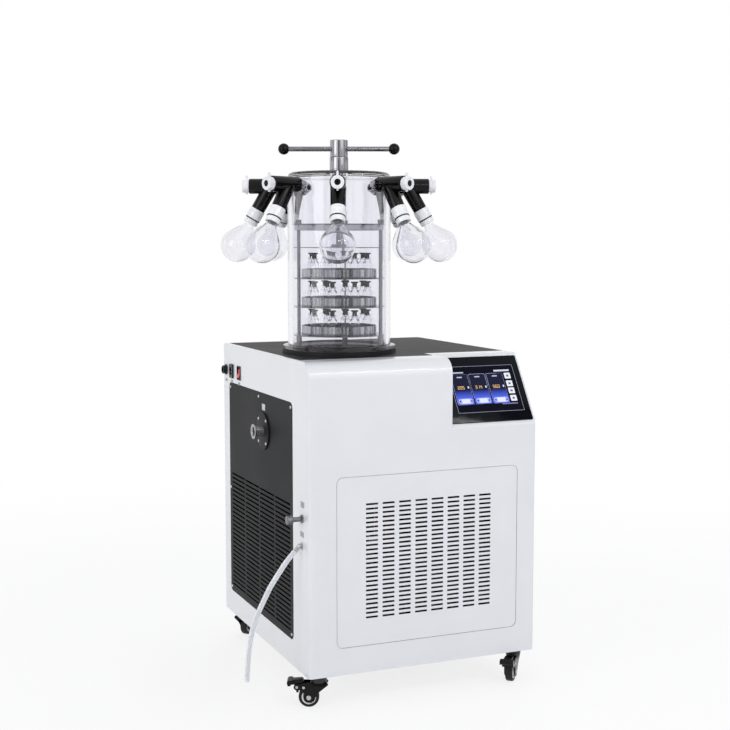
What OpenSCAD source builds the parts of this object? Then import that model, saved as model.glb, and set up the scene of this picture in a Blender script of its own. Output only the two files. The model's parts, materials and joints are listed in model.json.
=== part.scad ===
// Floor-standing laboratory freeze dryer with a stoppering chamber and an eight-port manifold.
// Frame: X to the right, Y to the back, Z up; the origin is on the floor under the middle of the machine.

/* [Cabinet] */
// Width of the cabinet
cabinet_w = 635; // [600:5:780]
// Depth of the cabinet
cabinet_d = 715; // [680:5:880]
// Height of the cabinet body above the casters
cabinet_h = 785; // [740:5:960]
// Thickness of the sheet metal
wall = 2; // [1.5:0.5:3]
// Radius of the rounded front top edge
front_round_r = 42; // [20:1:60]
// Radius of the upright edges and of the side top edges
edge_r = 8; // [5:1:12]
// Groove around each fitted panel
panel_gap = 1.2; // [0.5:0.1:2]
// Width of the ledge that carries each fitted panel
ledge_w = 15; // [12:1:20]
// Corner radius of the fitted panels
panel_r = 16; // [10:1:20]

/* [Service panel] */
// Margin of the front service panel from the left side
service_left = 74; // [50:1:100]
// Margin of the front service panel from the right side
service_right = 56; // [40:1:100]
// Height of the front service panel's lower edge above the cabinet's bottom
service_low = 70; // [50:1:100]
// Drop of the front service panel's upper edge below the cabinet's top
service_drop = 286; // [240:1:300]
// Length of a front vent slot
slot_l = 33; // [20:1:36]
// Height of a front vent slot
slot_h = 5; // [3:0.5:6]
// Distance between slots along a row
slot_pitch_x = 45.3; // [42:0.1:60]
// Distance between rows of slots
slot_pitch_z = 11.5; // [9:0.1:16]
// Plain border around the front vents
slot_border = 66; // [40:1:80]

/* [Side panel] */
// Margin of the side panel from the front
side_front = 116; // [100:1:140]
// Margin of the side panel from the rear
side_rear = 60; // [45:1:90]
// Height of the side panel's lower edge above the cabinet's bottom
side_low = 67; // [50:1:100]
// Drop of the side panel's upper edge below the cabinet's top
side_drop = 109; // [104:1:130]
// Length of a side vent slot
louvre_l = 118; // [60:1:120]
// Distance between side vent slots along a row
louvre_pitch_y = 127; // [124:1:160]
// Distance between rows of side vent slots
louvre_pitch_z = 12.5; // [10:0.5:20]
// Height of the plain upper part of the side panel
side_plain = 240; // [220:1:280]

/* [Console] */
// Width of the slanted console face
console_w = 245; // [235:1:300]
// Drop of the slanted face's lower edge below the cabinet's top
console_drop = 180; // [150:1:200]
// Depth that the slanted face reaches back
console_depth = 118; // [90:1:130]
// Width of the glass screen
screen_w = 237; // [180:1:237]
// Height of the glass screen along the slope
screen_h = 191; // [150:1:192]
// Thickness of the glass screen
screen_t = 3; // [2:0.5:5]

/* [Top plate] */
// Margin of the black top plate from the sides and the rear
plate_margin = 14; // [12:1:30]
// Distance of the top plate's edge from the front, left of the console
plate_front = 98; // [80:1:120]
// Distance of the top plate's edge from the front, behind the console
plate_front_right = 160; // [134:1:180]
// Thickness of the top plate
plate_t = 4; // [3:0.5:6]

/* [Chamber] */
// Distance of the chamber's axis from the left side
chamber_left = 200; // [190:1:220]
// Distance of the chamber's axis from the front
chamber_front = 300; // [290:1:320]
// Outer radius of the clear bell
bell_r = 137; // [134:1:150]
// Wall of the clear bell
bell_wall = 12; // [8:0.5:12]
// Outer radius of the bell's foot flange
bell_foot_r = 150; // [145:1:165]
// Height of the bell from its foot to its top
bell_h = 466; // [460:1:520]
// Thickness of the bell's top
bell_top_t = 15; // [10:1:20]
// Height of the ports above the top plate
port_h = 440; // [430:1:440]

/* [Cold trap] */
// Inner radius of the cold trap
trap_r = 100; // [80:1:102]
// Depth of the cold trap
trap_depth = 300; // [250:1:320]
// Thickness of the trap's flange on the top plate
trap_flange_t = 4; // [3:0.5:6]

/* [Rack] */
// Radius of the shelves
shelf_r = 121.5; // [118:0.5:123]
// Thickness of the shelves
shelf_t = 2; // [1.5:0.5:3]
// Height of the lowest shelf above the top plate
shelf_low = 48; // [40:1:60]
// Distance between shelves
shelf_pitch = 75; // [72:1:80]
// Height of the press plate above the upper shelf
press_gap = 81; // [76:1:84]
// Height of the rack's top ring above the press plate
ring_gap = 61; // [50:1:66]
// Radius of the rack posts
post_r = 5; // [4:0.5:6]
// Distance of the rack posts from the chamber's axis
post_at = 111; // [109:1:113]

/* [Vials and trays] */
// Outer radius of a tray
tray_r = 100; // [90:1:101]
// Height of a tray
tray_h = 24; // [15:1:30]
// Sheet of a tray
tray_t = 1.2; // [0.8:0.1:2]
// Radius of a vial
vial_r = 12; // [10:0.5:13]
// Height of a vial
vial_h = 52; // [45:1:52]
// Number of vials around a tray
vials_round = 8; // [6:1:9]
// How far a stopper stands up before it is pressed home
stopper_lift = 9; // [5:0.5:9]

/* [Press handle] */
// Radius of the handle's hub
hub_r = 24; // [20:1:26]
// Radius of the handle's bar
bar_r = 6.5; // [5:0.5:7]
// Distance of the ball knobs from the axis
ball_at = 146; // [120:1:180]
// Radius of the ball knobs
ball_r = 15; // [12:1:18]
// Radius of the press spindle
spindle_r = 8; // [7:0.5:9]

/* [Manifold] */
// Radius of the rubber valve's barrel
barrel_r = 20; // [19:0.5:22]
// Distance of the barrel's outer end from the chamber's axis
barrel_end = 238; // [236:1:245]
// Tilt of the flask branch from straight down
branch_tilt = 30; // [25:1:35]
// Radius of a valve's plug knob
knob_r = 17; // [15:1:19]
// Radius of a flask's bulb
flask_r = 45; // [40:1:46]
// Distance of the bulb's centre from the valve's elbow
flask_at = 180; // [175:1:185]
// Wall of a flask
flask_wall = 2; // [1.5:0.5:3]

/* [Casters] */
// Height of a caster from the floor to the cabinet
caster_h = 85; // [85:1:110]
// Radius of a caster's wheel
wheel_r = 26; // [24:1:26]
// Distance of each caster's swivel from the cabinet's sides
caster_in = 40; // [40:1:80]
// Distance of the wheel's axle behind the swivel
trail = 25; // [24:1:28]

/* [Hidden] */
$fn = 64;
run_gap = 0.05;    // radial clearance of a shaft that turns or slides in its bore
loose_gap = 0.5;   // radial clearance of the shelves around their posts
seat_gap = 0.3;    // clearance of a seated piece on another body
push_gap = 0.2;    // clearance left when the press is fully down
far = 2000;        // longer than any piece
sink = 1;          // how far a cutting tool reaches past a face

ports = 8;
port_step = 360 / ports;
port_turn = port_step / 2;

// heights above the floor
base_z = caster_h;
top_z = base_z + cabinet_h;
console_low_z = top_z - console_drop;

// the flasks reach out past the left side, and the frame's origin is under the middle of it all
branch_elbow = 180;
bulb_reach = branch_elbow + flask_at * sin(branch_tilt);
left_over = bulb_reach * cos(port_turn) + flask_r - chamber_left;
left_x = left_over / 2 - cabinet_w / 2;

// casters: each corner's place, and the way its wheel has swung
caster_xy = [
    [caster_in, caster_in],
    [cabinet_w - caster_in, caster_in],
    [caster_in, cabinet_d - caster_in],
    [cabinet_w - caster_in, cabinet_d - caster_in]
];
caster_turn = [-23, 48, -140, 60];
pedal_lip = [-48, 64];             // centre of the pedal's rounded lip, seen from the axle's foot
pedal_lip_r = 7;
pedal_lip_w = 36;

// the right front pedal reaches out in front of the cabinet
pedal_reach = trail - pedal_lip[0] + pedal_lip_r;
front_over = pedal_reach * sin(caster_turn[1]) + pedal_lip_w / 2 * cos(caster_turn[1]) - caster_in;
front_y = max(front_over, 0) / 2 - cabinet_d / 2;
chamber_x = left_x + chamber_left;
chamber_y = front_y + chamber_front;

// fitted panels, in the cabinet's own corner frame
service_box = [[service_left, base_z + service_low], [cabinet_w - service_right, top_z - service_drop]];
side_box = [[side_front, base_z + side_low], [cabinet_d - side_rear, top_z - side_drop]];
rear_margin = 40;
rear_box = [[rear_margin, base_z + rear_margin], [cabinet_w - rear_margin, top_z - rear_margin - plate_t]];
console_left = cabinet_w - console_w;
console_slope = atan(console_depth / console_drop);
console_step = console_left - 6;   // where the top plate's front edge steps back
plate_corner_r = 10;

// fasteners of the side panel and the vacuum port
screw_r = 2;
screw_head_r = 4;
screw_head_h = 2.4;
screw_l = 6;
screw_inset = 12;
screw_fit = 0.05;

// fittings on the left side: distance from the front and height
vacuum_y = 345;
vacuum_z = top_z - 210;
vacuum_plate_r = 50;
vacuum_plate_t = 4;
vacuum_pipe_r = 14;
vacuum_bore_r = 12.5;
vacuum_bore_l = 60;
vacuum_reach = 30;
vacuum_ring_r = 20;
vacuum_ring_t = 4;
vacuum_screw_at = 43;
gauge_y = cabinet_d - 31;
outlet_y = cabinet_d - 85;
switch_y = cabinet_d - 153;
socket_z = top_z - 75;
air_y = 47;
air_z = base_z + 395;
drain_y = 50;
drain_z = base_z + 326;

// chamber stack
flange_z = top_z + trap_flange_t;
gasket_web = 6;
bell_z = flange_z + gasket_web;
bell_top_z = bell_z + bell_h;
bell_in_r = bell_r - bell_wall;
port_z = top_z + port_h;
shelf_z = [for (i = [0 : 2]) top_z + shelf_low + i * shelf_pitch];
press_z = shelf_z[2] + press_gap;
ring_z = press_z + ring_gap;
post_turn = [60, 150, 330];

// stoppers, and the strokes that press them home row by row
stopper_flange_r = 9.8;
stopper_flange_h = 4;
stopper_stem_r = 5.9;
stopper_stem_l = 12;
stopper_top = tray_t + vial_h + stopper_lift + stopper_flange_h;

// handle stack
boss_h = 40;
boss_r = 25;
boss_neck_r = 16;
sleeve_r = 13;
hub_z = bell_top_z + boss_h;
hub_h = 45;
sleeve_low_z = bell_top_z - 26;
bar_z = hub_z + 22;
spindle_top_z = bar_z - bar_r - 4;
handle_turn = -22.5;
bar_end = 8;       // how far the bar stops short of the balls' centres

// manifold
spud_r = 12;
nipple_r = 10;
nipple_end = 170;
port_bore_r = 7;
nut_r = 17;
nut_h = 12;
valve_start = bell_r + nut_h + 2 * seat_gap;
plug_r = 14;
plug_in = 208;
knob_l = 18;
branch_l = 71;
spigot_r = 12;
collar_r = 20.5;
collar_end = 114;
ring_at = 98;
neck_r = 14;
neck_start = 84;
neck_end = 122;

// casters
crown_z = 64;
axle_r = 4;

// drain hose: centre points from its fitting to its free end, in the cabinet's corner frame
hose_r = 6.5;
hose_sides = 10;
hose_route = [
    [-18, 50, 400], [-38, 51, 378], [-55, 52, 355], [-70, 53, 333], [-84, 54, 311], [-95, 55, 289],
    [-107, 56, 265], [-117, 58, 242], [-125, 59, 218], [-131, 60, 192], [-135, 61, 165], [-138, 62, 138],
    [-140, 62, 111], [-142, 63, 80]
];

// ---------------------------------------------------------------- places

// Cabinet's corner frame: x from the left side, y from the front, z from the floor
module in_cabinet() translate([left_x, front_y, 0]) children();

// Chamber's axis, z from the floor
module on_chamber() translate([chamber_x, chamber_y, 0]) children();

// Port k: +X runs outward along the port
module at_port(k) on_chamber() rotate([0, 0, port_turn + k * port_step]) translate([0, 0, port_z]) children();

// Branch of a port: +Z runs down and outward along the branch from the elbow
module on_branch() translate([branch_elbow, 0, 0]) rotate([0, 180 - branch_tilt, 0]) children();

// Caster i: the swivel's axis, with the wheel behind it at -X
module at_caster(i) in_cabinet() translate(concat(caster_xy[i], 0)) rotate([0, 0, caster_turn[i]]) children();

// Slanted console face: x along the width, z up the slope, -y outward
module on_slope() translate([console_left, 0, console_low_z]) rotate([-console_slope, 0, 0]) children();

// Sheets that lie in the front, left and rear walls at a depth below the outer face
module front_sheet(depth, thick)
    translate([0, depth + thick, 0]) rotate([90, 0, 0]) linear_extrude(thick) children();
module left_sheet(depth, thick) translate([depth, 0, 0]) rotate([90, 0, 90]) linear_extrude(thick) children();
module rear_sheet(depth, thick)
    translate([0, cabinet_d, 0]) mirror([0, 1, 0]) front_sheet(depth, thick) children();

// ---------------------------------------------------------------- shapes

// Rectangle between two corners, grown by k, with rounded corners
module rounded_box(corners, k, r) {
    round_r = max(r + k, 1);
    low = corners[0] - [k, k];
    size = corners[1] - corners[0] + 2 * [k, k];
    translate(low) {
        translate([round_r, 0]) square([size[0] - 2 * round_r, size[1]]);
        translate([0, round_r]) square([size[0], size[1] - 2 * round_r]);
        for (x = [round_r, size[0] - round_r], y = [round_r, size[1] - round_r])
            translate([x, y]) circle(round_r);
    }
}

// Ring of revolution between two radii and two heights
module ring(r_in, r_out, z_low, z_high)
    rotate_extrude() translate([r_in, z_low]) square([r_out - r_in, z_high - z_low]);

// Grid of slots that fills a box, centred, with whole slots only
module slot_grid(corners, border, slot, pitch) {
    room = corners[1] - corners[0] - 2 * [border, border];
    count = [for (a = [0 : 1]) floor((room[a] - slot[a]) / pitch[a]) + 1];
    used = [for (a = [0 : 1]) (count[a] - 1) * pitch[a] + slot[a]];
    start = (corners[0] + corners[1] - used) / 2;
    for (i = [0 : count[0] - 1], j = [0 : count[1] - 1])
        translate(start + [i * pitch[0], j * pitch[1]]) square(slot);
}

// Side view of the cabinet, inset by k on every side but the bottom, which it overruns
module side_profile(k) {
    difference() {
        translate([k, base_z - k]) square([cabinet_d - 2 * k, cabinet_h]);
        translate([k - sink, top_z - front_round_r]) square([front_round_r - k + sink, front_round_r + sink]);
    }
    translate([front_round_r, top_z - front_round_r]) circle(front_round_r - k);
}

// Front view of the cabinet, inset by k
module front_profile(k) {
    rounded_box([[0, base_z + edge_r], [cabinet_w, top_z]], -k, edge_r);
    translate([k, base_z - k]) square([cabinet_w - 2 * k, cabinet_h / 2]);
}

// The cabinet as a solid, inset by k
module body_form(k) difference() {
    intersection() {
        left_sheet(0, cabinet_w) side_profile(k);
        front_sheet(0, cabinet_d) front_profile(k);
        linear_extrude(top_z) rounded_box([[0, 0], [cabinet_w, cabinet_d]], -k, edge_r);
    }
    translate([-k, 0, 0]) on_slope() translate([0, -far, -far / 2]) cube([far, far + k, far]);
}

// Top plate's outline grown by k
module plate_outline(k) {
    rear = cabinet_d - plate_margin;
    rounded_box([[plate_margin, plate_front], [console_step, rear]], k, plate_corner_r);
    rounded_box([[plate_margin, plate_front_right], [cabinet_w - plate_margin, rear]], k, plate_corner_r);
}

// Ledge around an outline, behind a wall: reaches outside it to the wall and inside it under the panel
module ledge_shape(corners) difference() {
    rounded_box(corners, ledge_w / 2, panel_r);
    rounded_box(corners, -ledge_w, panel_r);
}

// Places of the side panel's screws
side_mid = (side_box[0] + side_box[1]) / 2;
side_screw_places = concat(
    [for (y = [side_box[0][0] + screw_inset, side_mid[0], side_box[1][0] - screw_inset],
          z = [side_box[0][1] + screw_inset, side_box[1][1] - screw_inset]) [y, z]],
    [for (y = [side_box[0][0] + screw_inset / 2 + 2, side_box[1][0] - screw_inset / 2 - 2]) [y, side_mid[1]]]);
vacuum_screw_places = [for (a = [45 : 90 : 315])
    [vacuum_y + vacuum_screw_at * cos(a), vacuum_z + vacuum_screw_at * sin(a)]];

// Screw holes through the left side at a list of places
module screw_holes(places) for (p = places) translate([-far / 2, p[0], p[1]]) rotate([0, 90, 0])
    cylinder(r = screw_r + screw_fit, h = far / 2 + screw_l + sink);

// ---------------------------------------------------------------- cabinet

switch_hole = [28, 36];
outlet_hole = [26, 32];
gauge_hole_r = 12;
air_hole_r = 5;
drain_hole_r = 7.5;
housing_in = [16, 16];
housing_size = [screen_w, screen_h] - 2 * housing_in;
housing_depth = 30;
screen_left = 2;
screen_low = 12;
plate_lap = 3;     // how far the top plate's ledge reaches outside the plate

module cabinet_shell() in_cabinet() color("white") difference() {
    union() {
        difference() {
            body_form(0);
            body_form(wall);
        }
        front_sheet(wall, wall) ledge_shape(service_box);
        left_sheet(wall, wall) ledge_shape(side_box);
        rear_sheet(wall, wall) ledge_shape(rear_box);
        translate([0, 0, top_z - plate_t - wall]) linear_extrude(plate_t + wall - edge_r / 4) difference() {
            plate_outline(plate_lap);
            plate_outline(-ledge_w);
        }
    }
    front_sheet(-sink, wall + sink) rounded_box(service_box, panel_gap, panel_r);
    left_sheet(-sink, wall + sink) rounded_box(side_box, panel_gap, panel_r);
    rear_sheet(-sink, wall + sink) rounded_box(rear_box, panel_gap, panel_r);
    translate([0, 0, top_z - plate_t]) linear_extrude(far) plate_outline(panel_gap / 2);
    on_slope() translate([screen_left + housing_in[0] - sink, -sink, screen_low + housing_in[1] - sink])
        cube([housing_size[0] + 2 * sink, wall + 2 * sink, housing_size[1] + 2 * sink]);
    left_sheet(-sink, 2 * wall + sink) {
        translate([switch_y, socket_z]) square(switch_hole, center = true);
        translate([outlet_y, socket_z]) square(outlet_hole, center = true);
        translate([gauge_y, socket_z]) circle(gauge_hole_r);
        translate([air_y, air_z]) circle(air_hole_r);
        translate([drain_y, drain_z]) circle(drain_hole_r);
    }
    screw_holes(side_screw_places);
}

pan_gap = 0.2;
pan_h = 25;
module base_pan() in_cabinet() color("gainsboro") difference() {
    translate([0, 0, base_z]) linear_extrude(pan_h)
        rounded_box([[0, 0], [cabinet_w, cabinet_d]], -wall - pan_gap, edge_r);
    translate([0, 0, base_z + wall]) linear_extrude(pan_h)
        rounded_box([[0, 0], [cabinet_w, cabinet_d]], -2 * wall - pan_gap, edge_r);
}

module rear_panel() in_cabinet() color("gainsboro") rear_sheet(0, wall) rounded_box(rear_box, 0, panel_r);

module top_plate() in_cabinet() color("black") difference() {
    translate([0, 0, top_z - plate_t]) linear_extrude(plate_t) plate_outline(-panel_gap / 2);
    translate([chamber_left, chamber_front, 0]) cylinder(r = trap_r + wall + seat_gap, h = far);
}

module service_panel() in_cabinet() color("white") front_sheet(0, wall) difference() {
    rounded_box(service_box, 0, panel_r);
    slot_grid(service_box, slot_border, [slot_l, slot_h], [slot_pitch_x, slot_pitch_z]);
}

louvre_border = 18;
module side_panel() in_cabinet() color("black") difference() {
    left_sheet(0, wall) difference() {
        rounded_box(side_box, 0, panel_r);
        slot_grid([side_box[0], [side_box[1][0], side_box[1][1] - side_plain]], louvre_border,
            [louvre_l, slot_h], [louvre_pitch_y, louvre_pitch_z]);
        translate([vacuum_y, vacuum_z]) circle(vacuum_pipe_r + seat_gap);
    }
    screw_holes(side_screw_places);
    screw_holes(vacuum_screw_places);
}

module pan_screw() {
    translate([-screw_head_h, 0, 0]) rotate([0, 90, 0]) cylinder(r = screw_head_r, h = screw_head_h);
    rotate([0, 90, 0]) cylinder(r = screw_r, h = screw_l);
}
module panel_screws() in_cabinet() color("silver") {
    for (p = side_screw_places) translate([0, p[0], p[1]]) pan_screw();
    for (p = vacuum_screw_places) translate([-vacuum_plate_t, p[0], p[1]]) pan_screw();
}

module touch_screen() in_cabinet() on_slope() translate([screen_left, 0, screen_low]) color("black") {
    rotate([90, 0, 0]) linear_extrude(screen_t)
        rounded_box([[0, 0], [screen_w, screen_h]], 0, 4);
    translate([housing_in[0], -sink, housing_in[1]]) cube([housing_size[0], housing_depth, housing_size[1]]);
}

// ---------------------------------------------------------------- side fittings

switch_frame = [32, 40];
switch_frame_t = 2.5;
switch_depth = 22;
outlet_frame = [34, 40];
outlet_frame_t = 4;
outlet_depth = 24;
outlet_bore_r = 11;
outlet_bore_l = 15;
gauge_collar_r = 15;
gauge_bore_r = 8;
gauge_bore_l = 13;
gauge_reach = 12;
body_gap = 0.2;    // clearance of a socket's body in its hole
rocker_half = 15;
rocker_w = 23;
rocker_pivot = 4;
rocker_lean = 10;
rocker_well = [rocker_w + 1, 2 * rocker_half + 4];

// Block that reaches in and out of the left side, centred on its place
module side_block(x_out, x_in, size) translate([-x_out, -size[0] / 2, -size[1] / 2])
    cube([x_out + x_in, size[0], size[1]]);

module side_sockets() in_cabinet() color("black") {
    translate([0, switch_y, socket_z]) difference() {
        union() {
            side_block(switch_frame_t, 0, switch_frame);
            side_block(sink, switch_depth, switch_hole - 2 * [body_gap, body_gap]);
        }
        side_block(switch_frame_t + sink, switch_depth - 7, rocker_well);
    }
    translate([0, outlet_y, socket_z]) difference() {
        union() {
            side_block(outlet_frame_t, 0, outlet_frame);
            side_block(sink, outlet_depth, outlet_hole - 2 * [body_gap, body_gap]);
        }
        translate([-outlet_frame_t - sink, 0, 0]) rotate([0, 90, 0])
            cylinder(r = outlet_bore_r, h = outlet_bore_l + sink);
    }
    translate([0, gauge_y, socket_z]) difference() {
        rotate([0, -90, 0]) {
            cylinder(r = gauge_collar_r, h = 4);
            translate([0, 0, -20]) cylinder(r = gauge_hole_r - body_gap, h = 20 + gauge_reach);
        }
        translate([-gauge_reach - sink, 0, 0]) rotate([0, 90, 0])
            cylinder(r = gauge_bore_r, h = gauge_bore_l + sink);
    }
}

// Rocker: a shallow V on a pivot, leaning to its switched side
module power_rocker() in_cabinet() translate([rocker_pivot, switch_y, socket_z]) rotate([0, rocker_lean, 0])
    color("red") translate([0, rocker_w / 2, 0]) rotate([90, 0, 0]) linear_extrude(rocker_w)
    polygon([[-4, 0], [-7, rocker_half], [2, rocker_half], [5, 0], [2, -rocker_half], [-7, -rocker_half]]);

module vacuum_port() in_cabinet() translate([0, vacuum_y, vacuum_z]) {
    color("black") difference() {
        rotate([0, -90, 0]) cylinder(r = vacuum_plate_r, h = vacuum_plate_t);
        rotate([0, -90, 0]) cylinder(r = vacuum_pipe_r + run_gap, h = vacuum_plate_t + sink);
        translate([0, -vacuum_y, -vacuum_z]) screw_holes(vacuum_screw_places);
    }
    color("silver") difference() {
        translate([-vacuum_reach, 0, 0]) rotate([0, 90, 0]) {
            cylinder(r = vacuum_ring_r, h = vacuum_ring_t);
            translate([0, 0, vacuum_ring_t]) cylinder(r1 = vacuum_ring_r, r2 = vacuum_pipe_r, h = 2);
            cylinder(r = vacuum_pipe_r, h = vacuum_reach + chamber_left);
        }
        translate([-vacuum_reach - sink, 0, 0]) rotate([0, 90, 0])
            cylinder(r = vacuum_bore_r, h = vacuum_bore_l + sink);
        translate([chamber_left, chamber_front - vacuum_y, -vacuum_z]) cylinder(r = trap_r + wall, h = far);
    }
}

air_stem_r = 4;
air_collar = 24;
module air_valve_body() in_cabinet() translate([0, air_y, air_z]) rotate([0, -90, 0]) color("silver") {
    cylinder(r = 11, h = 4, $fn = 6);
    translate([0, 0, -18]) cylinder(r = 4.8, h = 18 + sink);
    translate([0, 0, 4 - sink]) cylinder(r = 6, h = air_collar - 4 + sink);
    translate([0, 0, air_collar - sink]) cylinder(r = air_stem_r, h = 12 + sink);
}

module air_valve_knob() in_cabinet() translate([0, air_y, air_z]) rotate([0, -90, 0]) color("silver")
    translate([0, 0, air_collar + seat_gap]) difference() {
        union() {
            cylinder(r = 8, h = 4);
            translate([0, 0, 3]) cylinder(r = 11, h = 14);
        }
        translate([0, 0, -sink]) cylinder(r = air_stem_r + run_gap, h = 13 + sink);
        for (a = [0 : 30 : 330]) rotate([0, 0, a]) translate([11.6, 0, -sink]) cylinder(r = 1.4, h = 20);
    }

drain_tip = hose_route[0];
drain_elbow = [-7, drain_y, drain_z];
drain_pipe_r = 6;
drain_elbow_r = 7;
drain_drop = atan2(drain_elbow[2] - drain_tip[2], drain_elbow[0] - drain_tip[0]);
drain_nose_l = norm(drain_elbow - drain_tip);
module drain_fitting() in_cabinet() color("silver") {
    translate([0, drain_y, drain_z]) rotate([0, -90, 0]) cylinder(r = 10, h = 3, $fn = 6);
    translate(drain_elbow) rotate([0, 90, 0]) cylinder(r = drain_pipe_r, h = chamber_left - drain_elbow[0]);
    translate(drain_elbow) sphere(drain_elbow_r);
    translate(drain_elbow) rotate([0, -90 - drain_drop, 0]) cylinder(r = drain_pipe_r, h = drain_nose_l);
    translate([chamber_left, drain_y, drain_z]) sphere(drain_elbow_r);
    translate([chamber_left, drain_y, drain_z]) rotate([-90, 0, 0])
        cylinder(r = drain_pipe_r, h = chamber_front - drain_y);
    translate([chamber_left, chamber_front, drain_z]) sphere(drain_elbow_r);
    translate([chamber_left, chamber_front, drain_z])
        cylinder(r = drain_pipe_r, h = top_z - trap_depth - drain_z);
}

// Tube swept along a list of points: a ring of points square to the route at each, and flat ends
function unit(v) = v / norm(v);
function heading(pts, i) = i == 0 ? unit(pts[1] - pts[0])
    : i == len(pts) - 1 ? unit(pts[i] - pts[i - 1])
    : unit(unit(pts[i + 1] - pts[i]) + unit(pts[i] - pts[i - 1]));
function ring_points(centre, along, r, sides) =
    let (u = unit(cross(along, [0, 1, 0])), v = cross(along, u))
    [for (k = [0 : sides - 1]) centre + r * (cos(360 * k / sides) * u + sin(360 * k / sides) * v)];
module swept_tube(pts, r, sides) {
    rings = len(pts);
    points = [for (i = [0 : rings - 1]) each ring_points(pts[i], heading(pts, i), r, sides)];
    skin = [for (i = [0 : rings - 2], k = [0 : sides - 1]) let (n = (k + 1) % sides)
        [i * sides + k, i * sides + n, (i + 1) * sides + n, (i + 1) * sides + k]];
    first = [for (k = [sides - 1 : -1 : 0]) k];
    last = [for (k = [0 : sides - 1]) (rings - 1) * sides + k];
    polyhedron(points, concat(skin, [first], [last]));
}
module drain_hose() in_cabinet() color("lightblue") swept_tube(hose_route, hose_r, hose_sides);

// ---------------------------------------------------------------- casters

fork_in = 12;
fork_out = 15;
fork_axle_r = 13;
wheel_w = 20;
pedal_w = 22;
pedal_pivot = [-30, 53];
stop_rivet = [-13, 52];
lobe_r = 8;
rivet_r = 2.5;
rivet_gap = 0.1;
king_r = 5;
plate_half = 28;
race_r = [19, 22];

// The wheel's own plane: x from the axle against its trail, y up, a slab of width w about the middle
module in_wheel_plane(w) translate([-trail, w / 2, 0]) rotate([90, 0, 0]) linear_extrude(w) children();

// Pin across the fork with a flat head on each side
module cross_pin(at, r, head_r, head_h) translate([-trail + at[0], 0, at[1]]) rotate([90, 0, 0]) {
    cylinder(r = r, h = 2 * fork_out, center = true);
    for (s = [-1, 1]) translate([0, 0, s * (fork_out + head_h / 2)])
        cylinder(r = head_r, h = head_h, center = true);
}

// Fixed half of a caster: plate under the cabinet, swivel race and kingpin
module caster_plates() in_cabinet() color("dimgray") for (p = caster_xy) translate(concat(p, 0)) {
    translate([-plate_half, -plate_half, caster_h - 4]) cube([2 * plate_half, 2 * plate_half, 4]);
    translate([0, 0, crown_z + seat_gap])
        cylinder(r1 = race_r[0], r2 = race_r[1], h = caster_h - 4 - crown_z - seat_gap);
    translate([0, 0, 50]) cylinder(r = king_r, h = crown_z - 49);
    translate([0, 0, 50]) cylinder(r = king_r + 3, h = 4);
}

module fork_leg(brake) difference() {
    union() {
        translate([0, wheel_r]) circle(fork_axle_r);
        polygon([[-9, wheel_r - 4], [-13, 42], [-20, 50], [-20, 60], [-14, crown_z], [trail + 22, crown_z],
            [trail + 24, crown_z - 5], [wheel_r - 0.5, 39.5], [17, 27], [8, wheel_r - 6]]);
        if (brake) {
            translate(pedal_pivot) circle(lobe_r);
            translate([pedal_pivot[0], pedal_pivot[1] - lobe_r]) square([20, 2 * lobe_r]);
        }
    }
    translate([0, wheel_r]) circle(axle_r + rivet_gap);
    if (brake) translate(pedal_pivot) circle(rivet_r + rivet_gap);
    translate(stop_rivet) circle(rivet_r + rivet_gap);
}
module caster_fork(brake) {
    color("black") difference() {
        union() {
            for (s = [-1, 1]) translate([0, s * (fork_in + fork_out) / 2, 0]) in_wheel_plane(fork_out - fork_in)
                fork_leg(brake);
            translate([-trail + 4, -fork_out, 54.5]) cube([trail + 17, 2 * fork_out, crown_z - 54.5]);
        }
        translate([0, 0, 40]) cylinder(r = king_r + run_gap, h = 40);
    }
    color("silver") {
        cross_pin([0, wheel_r], axle_r, 6, 2);
        if (brake) cross_pin(pedal_pivot, rivet_r, 3.5, 1);
        cross_pin(stop_rivet, rivet_r, 3.5, 1);
    }
}
module caster_wheel() color("black") translate([-trail, 0, wheel_r]) rotate([90, 0, 0]) difference() {
    union() {
        cylinder(r = wheel_r - 2, h = wheel_w, center = true);
        cylinder(r = wheel_r, h = wheel_w - 5, center = true);
        cylinder(r = 8, h = 2 * (fork_in - seat_gap), center = true);
    }
    cylinder(r = axle_r + run_gap, h = far, center = true);
    for (s = [-1, 1]) translate([0, 0, s * (wheel_w / 2)]) difference() {
        cylinder(r = wheel_r - 8, h = 4, center = true);
        cylinder(r = 8, h = 5, center = true);
    }
}

// Brake pedal: a tongue between the fork's legs with a pad that bears on the tyre, and a wide rounded lip
module brake_pedal() color("dimgray") difference() {
    union() {
        in_wheel_plane(pedal_w)
            polygon([[-25, 54], [-33, 58], [-42, 58], [-42, 70.5], [-16, 72], [-12, 67], [-20, 60]]);
        in_wheel_plane(pedal_w) translate(pedal_pivot) circle(6);
        in_wheel_plane(pedal_w) polygon([pedal_pivot + [-4, 0], pedal_pivot + [5, 0], pedal_pivot + [4, -15],
            pedal_pivot + [-1, -15]]);
        in_wheel_plane(pedal_lip_w) polygon([[-40, 62], [-48, 60], [-48, 71], [-40, 71]]);
        in_wheel_plane(pedal_lip_w) translate(pedal_lip) circle(pedal_lip_r);
    }
    in_wheel_plane(far) translate(pedal_pivot) circle(rivet_r + run_gap);
}

// ---------------------------------------------------------------- machinery

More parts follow.
